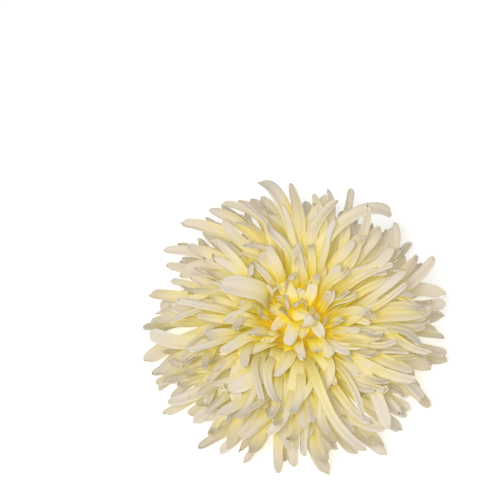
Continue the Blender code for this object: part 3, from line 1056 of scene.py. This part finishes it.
def turned_mesh(profile: list[tuple[float, float]], sides: int) -> bpy.types.Mesh:
    """A turned solid round the Z axis.

    Args:
        profile: Radius and height points in mm, which either close into a ring or begin and end on the axis.
        sides: Number of sides.

    Returns:
        The closed mesh in metres.
    """
    mesh = bpy.data.meshes.new("turned")
    points = [(radius * MM, 0.0, height * MM) for radius, height in profile]
    edges = [(i, i + 1) for i in range(len(points) - 1)]
    if profile[0][0] > 0.0:
        edges.append((len(points) - 1, 0))
    mesh.from_pydata(points, edges, [])
    obj = bpy.data.objects.new("turned", mesh)
    bpy.context.scene.collection.objects.link(obj)
    screw = obj.modifiers.new("turn", "SCREW")
    screw.steps = screw.render_steps = sides
    screw.use_merge_vertices = True
    screw.merge_threshold = 0.01 * MM
    return plain_mesh(obj)


def join_meshes(name: str, meshes: list[bpy.types.Mesh], material: bpy.types.Material) -> bpy.types.Object:
    """One object from several closed meshes, with its faces pointing outwards.

    Args:
        name: The object's name.
        meshes: The meshes, which are removed.
        material: The finish of the whole piece.

    Returns:
        The new object, at the origin.
    """
    graph = bmesh.new()
    for mesh in meshes:
        graph.from_mesh(mesh)
        bpy.data.meshes.remove(mesh)
    bmesh.ops.remove_doubles(graph, verts=graph.verts, dist=1e-7)
    bmesh.ops.recalc_face_normals(graph, faces=graph.faces)
    for face in graph.faces:
        face.material_index = 0
        face.smooth = True
    joined = bpy.data.meshes.new(name)
    graph.to_mesh(joined)
    graph.free()
    joined.materials.append(material)
    joined.set_sharp_from_angle(angle=math.radians(50.0))
    obj = bpy.data.objects.new(name, joined)
    bpy.context.scene.collection.objects.link(obj)
    return obj


# The flower's pieces


@dataclass
class FabricLayer:
    """One die-cut fabric layer: a small disc on the peg with its ring of curled petals."""

    layer: Layer
    finish: PetalFinish
    features: dict[tuple[str, int], dict[str, float]]
    inner: list[Layer] = field(default_factory=list)
    cap: bool = False
    stations: int = 28
    section_points: int = 16
    fabric: float = 0.42
    hole_radius: float = 1.85
    disc_sides: int = 48
    tip_range: tuple[float, float] = (0.5, 1.5)
    wiggle: float = 24.0
    nod: float = 12.0
    twist_share: float = 0.6

    def blades(self) -> list[tuple[list[Station], float]]:
        """The stations of all petals of the layer.

        Returns:
            Each petal's stations and its own number.
        """
        draw = random.Random(self.layer.seed + 1)
        chosen: list[tuple[Petal, bool]] = []
        for layer in [self.layer, *self.inner]:
            for index, petal in enumerate(layer.petals_by_rule(self.features)):
                foot = layer.name == "petal_layer_1" and index in FOOT_PETALS
                chosen.append((replace(petal, **FOOT_BEND) if foot else petal, foot))
            if layer.between:
                chosen.extend((petal, False) for petal in layer.strays())
        found = []
        for petal, foot in chosen:
            petal = replace(
                petal,
                twist=self.twist_share * petal.twist,
                wiggle=petal.fade * draw.uniform(-self.wiggle, self.wiggle),
                nod=0.0 if foot else draw.uniform(-self.nod, self.nod),
                waves=draw.uniform(0.7, 1.6),
                phase=draw.uniform(0.0, 2.0 * math.pi),
            )
            tip_length = petal.width * petal.tip * draw.uniform(*self.tip_range)
            height_scale = petal.draw_up(self.layer.rows, foot)
            found.append((petal.stations(self.stations, tip_length, height_scale), draw.random()))
        return found

    def build(self) -> bpy.types.Object:
        """Builds the layer and lets it stand for its solid.

        Returns:
            The layer's object.
        """
        petals = swept_blades(
            self.layer.name,
            self.blades(),
            {
                "Section Points": self.section_points,
                "Thickness": self.fabric * MM,
                "Crease Depth": 0.2 * MM,
                "Crease Count": 1.6,
                "Edge Wave": 0.9 * MM,
                "Wave Turns": 5.0,
                "Ragged Tip": 3.4 * MM,
                "Seed": float(self.layer.seed % 97),
                "Finish": self.finish.material(),
            },
        )
        low, high = self.layer.disc_height - 0.5 * DISC, self.layer.disc_height + 0.5 * DISC
        radius = self.layer.disc_radius
        if self.cap:
            socket = 22.0 + GAP
            profile = [(0.0, socket + DISC), (4.0, socket + DISC), (4.0, high), (radius, high), (radius, low),
                       (2.5, low), (2.5, socket), (0.0, socket)]
        else:
            profile = [(self.hole_radius, high), (radius, high), (radius, low), (self.hole_radius, low)]
        disc = turned_mesh(profile, self.disc_sides)
        piece = join_meshes(self.layer.name + "_fabric", [petals, disc], bpy.data.materials[self.finish.name])
        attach(piece, "root")
        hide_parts(self.layer.name)
        return piece


@dataclass
class SepalWhorl:
    """The dark green whorl under the teeth: a disc round the stub with eight pointed lobes."""

    finish: SepalFinish
    lobes: int = 8
    seed: int = 5
    radius: float = 7.6
    top: float = 9.7
    hole_radius: float = 1.9
    length: float = 21.5
    width: float = 12.6
    root_width: float = 5.0
    size_range: tuple[float, float] = (0.94, 1.06)
    leave: float = -10.0
    rise: tuple[float, float] = (-15.0, -21.0)
    turn: float = 5.0
    recline_range: tuple[float, float] = (-4.0, 6.0)
    sway: float = 8.0
    twist: float = 7.0
    stations: int = 34

    def blades(self) -> list[tuple[list[Station], float]]:
        """The stations of all lobes.

        Returns:
            Each lobe's stations and its own number.
        """
        draw = random.Random(self.seed)
        found = []
        for index in range(self.lobes):
            lobe = Petal(
                azimuth=360.0 * (index + 0.5) / self.lobes + draw.uniform(-self.turn, self.turn),
                root_radius=self.radius - ROOT_SUNK,
                height=self.top - 0.5 * DISC,
                length=self.length * draw.uniform(*self.size_range),
                width=self.width * draw.uniform(*self.size_range),
                leave=self.leave,
                rise=self.rise[index % len(self.rise)],
                recline=draw.uniform(*self.recline_range),
                hook=0.0,
                sway=draw.uniform(-self.sway, self.sway),
                twist=draw.uniform(-self.twist, self.twist),
                cup=0.03,
                tip=0.1,
                root_width=self.root_width,
            )
            found.append((lobe.stations(self.stations, 0.8, lobe.draw_up(FLAT_ROWS, False)), (index + 0.5) / self.lobes))
        return found

    def build(self) -> bpy.types.Object:
        """Builds the whorl and lets it stand for its solid.

        Returns:
            The whorl's object.
        """
        lobes = swept_blades(
            "sepal_whorl",
            self.blades(),
            {
                "Section Points": 32,
                "Thickness": 0.45 * MM,
                "Crease Depth": 0.22 * MM,
                "Crease Count": 1.0,
                "Edge Wave": 0.9 * MM,
                "Wave Turns": 3.0,
                "Ragged Tip": 0.0,
                "Seed": 3.0,
                "Finish": self.finish.material(),
            },
        )
        low = self.top - DISC
        profile = [(self.hole_radius, self.top), (self.radius, self.top), (self.radius, low), (self.hole_radius, low)]
        disc = turned_mesh(profile, 48)
        piece = join_meshes("sepal_whorl_fabric", [lobes, disc], bpy.data.materials[self.finish.name])
        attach(piece, "root")
        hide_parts("sepal_whorl")
        return piece


@dataclass
class Calyx:
    """The green moulding: a hollow stub, a shallow dish with a ring of pointed teeth, and the barbed peg."""

    finish: PlasticFinish
    stub_radius: float = 1.6
    bore_radius: float = 0.8
    bore_depth: float = 8.5
    peg_radius: float = 1.5
    barb_low: float = 19.3
    barb_radius: float = 2.2
    barb_tip_radius: float = 0.7
    barb_height: float = 2.4
    barb_edge: float = 0.5
    dish_radius: float = 8.6
    dish_thickness: float = 1.2
    dish_top: float = 11.2
    sides: int = 64
    teeth: int = 16
    tooth_length: float = 12.5
    tooth_width: float = 1.8
    tooth_tip_width: float = 0.5
    tooth_thickness: float = 0.65
    tooth_slope: float = -9.0

    def profile(self) -> list[tuple[float, float]]:
        """The moulding's section with its rounded rims.

        Returns:
            Radius and height points in mm, from the top of the peg down and up the bore.
        """
        dish_low = self.dish_top - self.dish_thickness
        return [
            (0.0, self.barb_low + self.barb_height),
            (self.barb_tip_radius, self.barb_low + self.barb_height),
            (self.barb_radius, self.barb_low + self.barb_edge),
            (self.barb_radius, self.barb_low),
            (self.peg_radius, self.barb_low),
            (self.peg_radius, self.dish_top + 0.35),
            (self.peg_radius + 0.1, self.dish_top + 0.1),
            (self.peg_radius + 0.35, self.dish_top),
            (self.dish_radius - 0.25, self.dish_top),
            (self.dish_radius, self.dish_top - 0.25),
            (self.dish_radius, dish_low + 0.25),
            (self.dish_radius - 0.25, dish_low),
            (self.stub_radius + 0.25, dish_low),
            (self.stub_radius, dish_low - 0.3),
            (self.stub_radius, 0.2),
            (self.stub_radius - 0.2, 0.0),
            (self.bore_radius + 0.15, 0.0),
            (self.bore_radius, 0.15),
            (self.bore_radius, self.bore_depth),
            (0.0, self.bore_depth),
        ]

    def tooth_tree(self) -> bpy.types.NodeTree:
        """The Geometry Nodes tree that sets one tapered tooth at each point of a ring.

        Returns:
            The geometry node tree.
        """
        tree, nodes = geometry_tree(
            "calyx_teeth",
            [
                ("Teeth", "NodeSocketInt", 16),
                ("Root Radius", "NodeSocketFloat", 0.007),
                ("Height", "NodeSocketFloat", 0.0106),
                ("Length", "NodeSocketFloat", 0.0125),
                ("Root Width", "NodeSocketFloat", 0.0018),
                ("Tip Width", "NodeSocketFloat", 0.0005),
                ("Thickness", "NodeSocketFloat", 0.65),
                ("Slope", "NodeSocketFloat", -0.157),
                ("Finish", "NodeSocketMaterial", None),
            ],
        )
        given = nodes.add("NodeGroupInput").outputs
        flat = nodes.math("MULTIPLY", given["Length"], nodes.math("COSINE", given["Slope"]))
        drop = nodes.math("MULTIPLY", given["Length"], nodes.math("SINE", given["Slope"]))
        end = nodes.add("ShaderNodeCombineXYZ", {0: flat, 2: drop}).outputs[0]
        middle = nodes.add(
            "ShaderNodeCombineXYZ",
            {0: nodes.math("MULTIPLY", flat, 0.5), 2: nodes.math("MULTIPLY", drop, 0.42)},
        ).outputs[0]
        line = nodes.add(
            "GeometryNodeCurveQuadraticBezier",
            {"Resolution": 8, "Start": (0.0, 0.0, 0.0), "Middle": middle, "End": end},
        ).outputs[0]
        share = nodes.add("GeometryNodeSplineParameter").outputs["Factor"]
        narrowing = nodes.math("POWER", share, 1.2)
        narrow = nodes.math("SUBTRACT", given["Root Width"], given["Tip Width"])
        breadth = nodes.math("SUBTRACT", given["Root Width"], nodes.math("MULTIPLY", narrow, narrowing))
        line = nodes.add(
            "GeometryNodeSetCurveRadius", {"Curve": line, "Radius": nodes.math("MULTIPLY", breadth, 0.5)}
        ).outputs[0]
        section = nodes.add("GeometryNodeCurvePrimitiveCircle", {"Resolution": 10, "Radius": 1.0}).outputs["Curve"]
        squash = nodes.add("ShaderNodeCombineXYZ", {0: given["Thickness"], 1: 1.0, 2: 1.0}).outputs[0]
        section = nodes.add("GeometryNodeTransform", {"Geometry": section, "Scale": squash}).outputs[0]
        sweep = nodes.add(
            "GeometryNodeCurveToMesh", {"Curve": line, "Profile Curve": section, "Fill Caps": True}
        )
        scale = next((s for s in sweep.inputs if s.name == "Scale"), None)
        if scale is not None:
            radius = nodes.add("GeometryNodeInputRadius").outputs[0]
            tree.links.new(radius, scale)
        ring = nodes.add("GeometryNodeMeshLine", {"Count": given["Teeth"]}, mode="OFFSET").outputs[0]
        index = nodes.add("GeometryNodeInputIndex").outputs[0]
        angle = nodes.math("MULTIPLY", nodes.math("DIVIDE", index, given["Teeth"]), 2.0 * math.pi)
        spot = nodes.add(
            "ShaderNodeCombineXYZ",
            {0: nodes.math("MULTIPLY", given["Root Radius"], nodes.math("COSINE", angle)),
             1: nodes.math("MULTIPLY", given["Root Radius"], nodes.math("SINE", angle)), 2: given["Height"]},
        ).outputs[0]
        ring = nodes.add("GeometryNodeSetPosition", {"Geometry": ring, "Position": spot}).outputs[0]
        facing = nodes.add("ShaderNodeCombineXYZ", {2: angle}).outputs[0]
        placed = nodes.add(
            "GeometryNodeInstanceOnPoints", {"Points": ring, "Instance": sweep.outputs[0], "Rotation": facing}
        ).outputs[0]
        real = nodes.add("GeometryNodeRealizeInstances", {"Geometry": placed}).outputs[0]
        dressed = nodes.add("GeometryNodeSetMaterial", {"Geometry": real, "Material": given["Finish"]}).outputs[0]
        nodes.add("NodeGroupOutput", {"Geometry": dressed})
        return tree

    def teeth_mesh(self, material: bpy.types.Material) -> bpy.types.Mesh:
        """The ring of teeth.

        Args:
            material: The moulding's finish.

        Returns:
            The plain mesh.
        """
        obj = bpy.data.objects.new("teeth", bpy.data.meshes.new("teeth"))
        bpy.context.scene.collection.objects.link(obj)
        modifier = obj.modifiers.new("teeth", "NODES")
        modifier.node_group = self.tooth_tree()
        values = {
            "Teeth": self.teeth,
            "Root Radius": (self.dish_radius - ROOT_SUNK) * MM,
            "Height": (self.dish_top - 0.5 * self.dish_thickness) * MM,
            "Length": self.tooth_length * MM,
            "Root Width": self.tooth_width * MM,
            "Tip Width": self.tooth_tip_width * MM,
            "Thickness": self.tooth_thickness,
            "Slope": math.radians(self.tooth_slope),
            "Finish": material,
        }
        for label, value in values.items():
            set_input(modifier, label, value)
        return plain_mesh(obj)

    def build(self) -> bpy.types.Object:
        """Builds the moulding and lets it stand for its solid.

        Returns:
            The moulding's object.
        """
        material = self.finish.material()
        body = turned_mesh(self.profile(), self.sides)
        piece = join_meshes("calyx_moulding_plastic", [body, self.teeth_mesh(material)], material)
        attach(piece, "root")
        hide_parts("calyx_moulding")
        return piece


@dataclass
class Studio:
    """Pale floor, soft lights and the camera at the photograph's viewing angle."""

    finish: FloorFinish
    floor_size: float = 6.0
    elevation: float = 64.0
    distance: float = 0.70
    lens: float = 120.5
    aim_height: float = 0.028
    aim_right: float = -0.01966
    aim_up: float = 0.02735

    def floor(self) -> bpy.types.Object:
        """Builds the floor.

        Returns:
            The floor's object.
        """
        graph = bmesh.new()
        bmesh.ops.create_grid(graph, x_segments=8, y_segments=8, size=0.5 * self.floor_size)
        mesh = bpy.data.meshes.new("floor")
        graph.to_mesh(mesh)
        graph.free()
        mesh.materials.append(self.finish.material())
        obj = bpy.data.objects.new("floor", mesh)
        bpy.context.scene.collection.objects.link(obj)
        return obj

    def camera(self) -> bpy.types.Object:
        """Places the camera.

        Returns:
            The camera's object.
        """
        angle = math.radians(self.elevation)
        right = Vector((1.0, 0.0, 0.0))
        up = Vector((0.0, math.sin(angle), math.cos(angle)))
        target = Vector((0.0, 0.0, self.aim_height)) + right * self.aim_right + up * self.aim_up
        place = target + self.distance * Vector((0.0, -math.cos(angle), math.sin(angle)))
        camera = bpy.data.cameras.new("camera")
        camera.lens = self.lens
        camera.clip_start = 0.01
        obj = bpy.data.objects.new("camera", camera)
        obj.location = place
        obj.rotation_euler = (target - place).to_track_quat("-Z", "Y").to_euler()
        bpy.context.scene.collection.objects.link(obj)
        bpy.context.scene.camera = obj
        return obj

    def light(
        self, name: str, place: tuple[float, float, float], size: float, power: float, shadows: bool = True
    ) -> None:
        """Adds a soft square light aimed at the flower.

        Args:
            name: The light's name.
            place: Where it hangs, in metres.
            size: Its side, in metres.
            power: Its power, in watts.
            shadows: False for a light that reaches into the folds, as light through the fabric does.
        """
        data = bpy.data.lights.new(name, "AREA")
        data.size = size
        data.energy = power
        data.color = (1.0, 0.99, 0.98)
        data.use_shadow = shadows
        obj = bpy.data.objects.new(name, data)
        obj.location = place
        obj.rotation_euler = (Vector((0.0, 0.0, 0.02)) - Vector(place)).to_track_quat("-Z", "Y").to_euler()
        bpy.context.scene.collection.objects.link(obj)

    def build(self) -> None:
        """Builds the floor, the lights, the pale surroundings and the camera."""
        self.floor()
        self.light("key_light", (-0.2, -0.36, 0.9), 0.3, 4.2)
        self.light("fill_light", (0.06, -0.4, 0.9), 0.5, 3.0, shadows=False)
        world = bpy.data.worlds.new("pale_surroundings")
        world.use_nodes = True
        world.node_tree.nodes["Background"].inputs["Color"].default_value = (1.0, 1.0, 1.0, 1.0)
        world.node_tree.nodes["Background"].inputs["Strength"].default_value = 0.36
        bpy.context.scene.world = world
        bpy.context.scene.view_settings.view_transform = "Standard"
        self.camera()


LAYERS = (
    Layer(
        name="petal_layer_1", seed=1411, petals=30, turn=0.0,
        disc_radius=13.0, disc_height=12.0, length=54.0, width=5.2, tip=0.6,
        rows=FLAT_ROWS, leave=-2.0, rise=-4.0, recline=4.0, hook=50.0, loose=4.0,
        shortest=0.86, between=26, between_width=0.95,
    ),
    Layer(
        name="petal_layer_2", seed=2512, petals=28, turn=5.0,
        disc_radius=11.6, disc_height=13.3, length=55.0, width=5.2, tip=0.6,
        rows=FLAT_ROWS, leave=5.0, rise=8.0, recline=5.0, hook=60.0, loose=4.5,
        lean=2.0, arch=0.4, shortest=0.8, between=34, between_width=0.85,
    ),
    Layer(
        name="petal_layer_3", seed=1113, petals=25, turn=6.0,
        disc_radius=10.2, disc_height=14.6, length=54.0, width=5.2, tip=0.55,
        rows=FLAT_ROWS, leave=11.0, rise=20.0, recline=8.0, hook=70.0, loose=4.5,
        lean=4.0, arch=0.7, shortest=0.7, droop=4.0, between=50,
    ),
    Layer(
        name="petal_layer_4", seed=414, petals=22, turn=0.0,
        disc_radius=8.8, disc_height=15.9, length=51.0, width=5.2, tip=0.55,
        rows=BENT_ROWS, leave=18.0, rise=32.0, recline=12.0, hook=100.0, loose=4.5,
        lean=6.0, fold=5.0, arch=1.0, shortest=0.6, droop=10.0, between=60, between_length=1.08,
    ),
    Layer(
        name="petal_layer_5", seed=415, petals=18, turn=3.0,
        disc_radius=7.4, disc_height=17.2, length=46.0, width=5.0, tip=0.55,
        rows=BENT_ROWS, leave=24.0, rise=43.0, recline=12.0, hook=100.0, loose=4.5,
        lean=8.0, fold=15.0, arch=1.0, shortest=0.55, droop=18.0, between=48, between_length=1.12,
    ),
    Layer(
        name="petal_layer_6", seed=316, petals=14, turn=10.0,
        disc_radius=6.2, disc_height=18.5, length=36.0, width=5.4, tip=0.6,
        rows=BENT_ROWS, leave=32.0, rise=54.0, recline=9.0, hook=90.0, loose=4.5,
        lean=10.0, fold=28.0, arch=0.6, shortest=0.6, droop=22.0, between=30, between_length=1.08,
    ),
    Layer(
        name="petal_layer_7", seed=217, petals=9, turn=20.0,
        disc_radius=5.2, disc_height=19.9, length=28.0, width=5.8, tip=0.7,
        rows=HEART_ROWS, leave=40.0, rise=66.0, recline=4.0, hook=60.0, loose=4.5,
        lean=12.0, fold=42.0, sway=45.0, twist=80.0, droop=12.0, between=9,
    ),
)
HEART_ROW = Layer(
    name="heart_row", seed=18, petals=7, turn=40.0,
    disc_radius=3.1, disc_height=22.0, length=16.5, width=6.4, tip=0.8,
    rows=HEART_ROWS, leave=86.0, rise=78.0, recline=22.0, hook=30.0, loose=6.0,
    fold=85.0, fold_from=0.35, shortest=0.8, sway=45.0, twist=60.0, fade=0.68,
)
HEART_CROWN = Layer(
    name="heart_crown", seed=21, petals=11, turn=0.0,
    disc_radius=2.6, disc_height=22.0, length=16.0, width=6.0, tip=0.85,
    rows=HEART_ROWS, leave=86.0, rise=80.0, recline=60.0, hook=10.0, loose=3.0,
    shortest=0.96, sway=10.0, twist=25.0, fade=0.56,
)
LONG_PETALS = Layer(
    name="long_petals", seed=51, petals=17, turn=0.0,
    disc_radius=7.4, disc_height=17.2, length=60.0, width=4.8, tip=0.6,
    rows=BENT_ROWS, leave=24.0, rise=36.0, recline=12.0, hook=12.0, loose=0.0,
    shortest=0.96, sway=0.0, twist=25.0, fade=0.75,
)
INNER_ROWS = {"petal_layer_5": [LONG_PETALS], "petal_layer_7": [HEART_ROW, HEART_CROWN]}
FEATURES = {
    ("heart_crown", 0): {"azimuth": 350.0, "length": 15.5, "width": 4.6, "recline": 40.0, "sway": -50.0},
    ("heart_crown", 1): {"azimuth": 78.0, "length": 14.5, "width": 9.6, "recline": 52.0, "hook": 0.0},
    ("heart_crown", 2): {"azimuth": 128.0, "length": 16.0, "width": 5.4, "recline": 40.0, "sway": 60.0},
    ("heart_crown", 3): {"azimuth": 172.0, "length": 15.0, "width": 6.4, "recline": 72.0, "sway": -20.0},
    ("heart_crown", 4): {"azimuth": 206.0, "length": 17.0, "width": 5.6, "recline": 84.0, "sway": 30.0, "twist": 40.0},
    ("heart_crown", 5): {"azimuth": 252.0, "length": 19.0, "width": 5.6, "recline": 84.0, "sway": 10.0},
    ("heart_crown", 6): {"azimuth": 296.0, "length": 24.0, "width": 5.8, "recline": 70.0, "hook": 120.0, "twist": -30.0},
    ("heart_crown", 7): {"azimuth": 326.0, "length": 21.0, "width": 4.8, "recline": 80.0, "sway": -35.0},
    ("heart_crown", 8): {"azimuth": 150.0, "length": 19.0, "width": 5.6, "recline": -112.0, "twist": 30.0},
    ("heart_crown", 9): {"azimuth": 118.0, "length": 22.0, "width": 6.0, "rise": 68.0, "recline": 56.0},
    ("heart_crown", 10): {"azimuth": 40.0, "length": 21.0, "width": 4.6, "rise": 64.0, "recline": 30.0, "sway": 60.0},
    ("long_petals", 0): {"azimuth": 86.0, "length": 65.0, "rise": 50.0, "recline": 25.0, "sway": 65.0, "hook": -60.0},
    ("long_petals", 1): {"azimuth": 89.0, "length": 57.0, "rise": 46.0, "sway": 12.0, "twist": 60.0, "width": 6.4},
    ("long_petals", 2): {"azimuth": 85.0, "length": 54.0, "rise": 52.0, "recline": 30.0, "sway": -50.0, "twist": -50.0},
    ("long_petals", 3): {"azimuth": 73.0, "length": 72.0, "rise": 66.0, "recline": 58.0, "sway": -82.0, "hook": -50.0},
    ("long_petals", 4): {"azimuth": 42.0, "length": 57.0, "rise": 38.0, "sway": 48.0, "width": 4.0},
    ("long_petals", 5): {"azimuth": 20.0, "length": 61.0, "rise": 15.0, "recline": 5.0, "sway": 90.0},
    ("long_petals", 6): {"azimuth": 10.0, "length": 61.0, "rise": 16.0, "recline": 5.0, "sway": 40.0, "hook": 20.0},
    ("long_petals", 7): {"azimuth": 120.0, "length": 66.0, "rise": 34.0, "recline": 44.0, "sway": 60.0, "width": 5.6},
    ("long_petals", 8): {"azimuth": 106.0, "length": 62.0, "rise": 42.0, "recline": 38.0, "sway": 80.0, "width": 5.2},
    ("long_petals", 9): {"azimuth": 96.0, "length": 64.0, "rise": 46.0, "recline": 36.0, "sway": 85.0},
    ("long_petals", 10): {"azimuth": 136.0, "length": 63.0, "rise": 26.0, "recline": 34.0, "sway": 50.0},
    ("long_petals", 11): {"azimuth": -82.0, "length": 75.0, "rise": 52.0, "recline": 76.0, "sway": 58.0, "width": 4.2},
    ("long_petals", 12): {"azimuth": -86.0, "length": 58.0, "rise": 54.0, "recline": 76.0, "sway": -60.0},
    ("long_petals", 13): {"azimuth": -112.0, "length": 46.0, "rise": 62.0, "recline": 86.0, "sway": 60.0},
    ("long_petals", 14): {"azimuth": -150.0, "length": 50.0, "rise": 56.0, "recline": 76.0, "sway": 85.0},
    ("long_petals", 15): {"azimuth": -40.0, "length": 60.0, "rise": 36.0, "recline": 52.0, "sway": -40.0},
    ("long_petals", 16): {"azimuth": 163.0, "length": 46.5, "rise": 87.0, "recline": 86.0, "recline_from": 0.41,
                          "sway": 10.0, "width": 9.6},
    ("petal_layer_3", 2): {"sway": 52.0, "hook": 20.0},
    ("petal_layer_3", 3): {"sway": 58.0, "hook": 30.0, "twist": 30.0},
    ("petal_layer_3", 4): {"length": 60.0, "rise": 30.0, "recline": 30.0, "twist": 70.0, "width": 5.0},
    ("petal_layer_4", 5): {"length": 53.0, "rise": 44.0, "hook": 60.0, "twist": 85.0, "sway": -12.0},
    ("petal_layer_4", 6): {"length": 57.0, "rise": 36.0, "sway": 60.0, "twist": 35.0, "width": 5.0},
    ("petal_layer_5", 7): {"width": 10.0, "tip": 0.4, "hook": 130.0, "hook_from": 0.5, "twist": -20.0},
}


def petal_finish(number: int) -> PetalFinish:
    """The finish of one layer: the further in, the deeper the gold at its roots and the further it reaches.

    Args:
        number: The layer's number, 1 at the back.

    Returns:
        The finish.
    """
    depth = (number - 1) / 6.0
    return PetalFinish(
        name=f"cream_fabric_{number}",
        root=srgb(round(224 + 26 * depth), round(206 + 20 * depth), round(92 - 80 * depth)),
        lower=srgb(round(227 + 14 * depth), round(213 + 6 * depth), round(126 - 14 * depth)),
        # Middles and tips are lighter the further in the layer lies and greyer at the back: painted light against the
        # shade deep in the bloom.
        middle=srgb(round(227 + 8 * depth), round(214 + 5 * depth), round(146 + 16 * depth)),
        tip=srgb(round(209 + 16 * depth), round(200 + 13 * depth), round(182 + 13 * depth)),
        # The painted crease and fold shade turns yellower towards the heart.
        shade=srgb(236 + round(12 * depth), 226 + round(10 * depth), 176 - round(56 * depth)),
        painted_fold_shade=srgb(252, 252, round(196 - 110 * depth)),
        root_end=0.14 + 0.48 * depth**3,
        lower_end=0.38 + 0.31 * depth**3,
        middle_end=0.66 + 0.13 * depth**3,
        # The painted glow grows towards the heart.
        glow=0.085 * depth**2,
    )


def main() -> None:
    """Builds the flower from the back to the heart, then the studio."""
    logging.basicConfig(level=logging.INFO, format="%(name)s: %(message)s")
    pieces = [Calyx(PlasticFinish()).build(), SepalWhorl(SepalFinish()).build()]
    for number, layer in enumerate(LAYERS, start=1):
        inner = INNER_ROWS.get(layer.name, [])
        cap = layer is LAYERS[-1]
        pieces.append(FabricLayer(layer, petal_finish(number), FEATURES, inner, cap).build())
    Studio(FloorFinish()).build()
    for piece in pieces:
        piece.data.calc_loop_triangles()
        LOG.info("%s: %d triangles", piece.name, len(piece.data.loop_triangles))


if __name__ == "__main__":
    main()
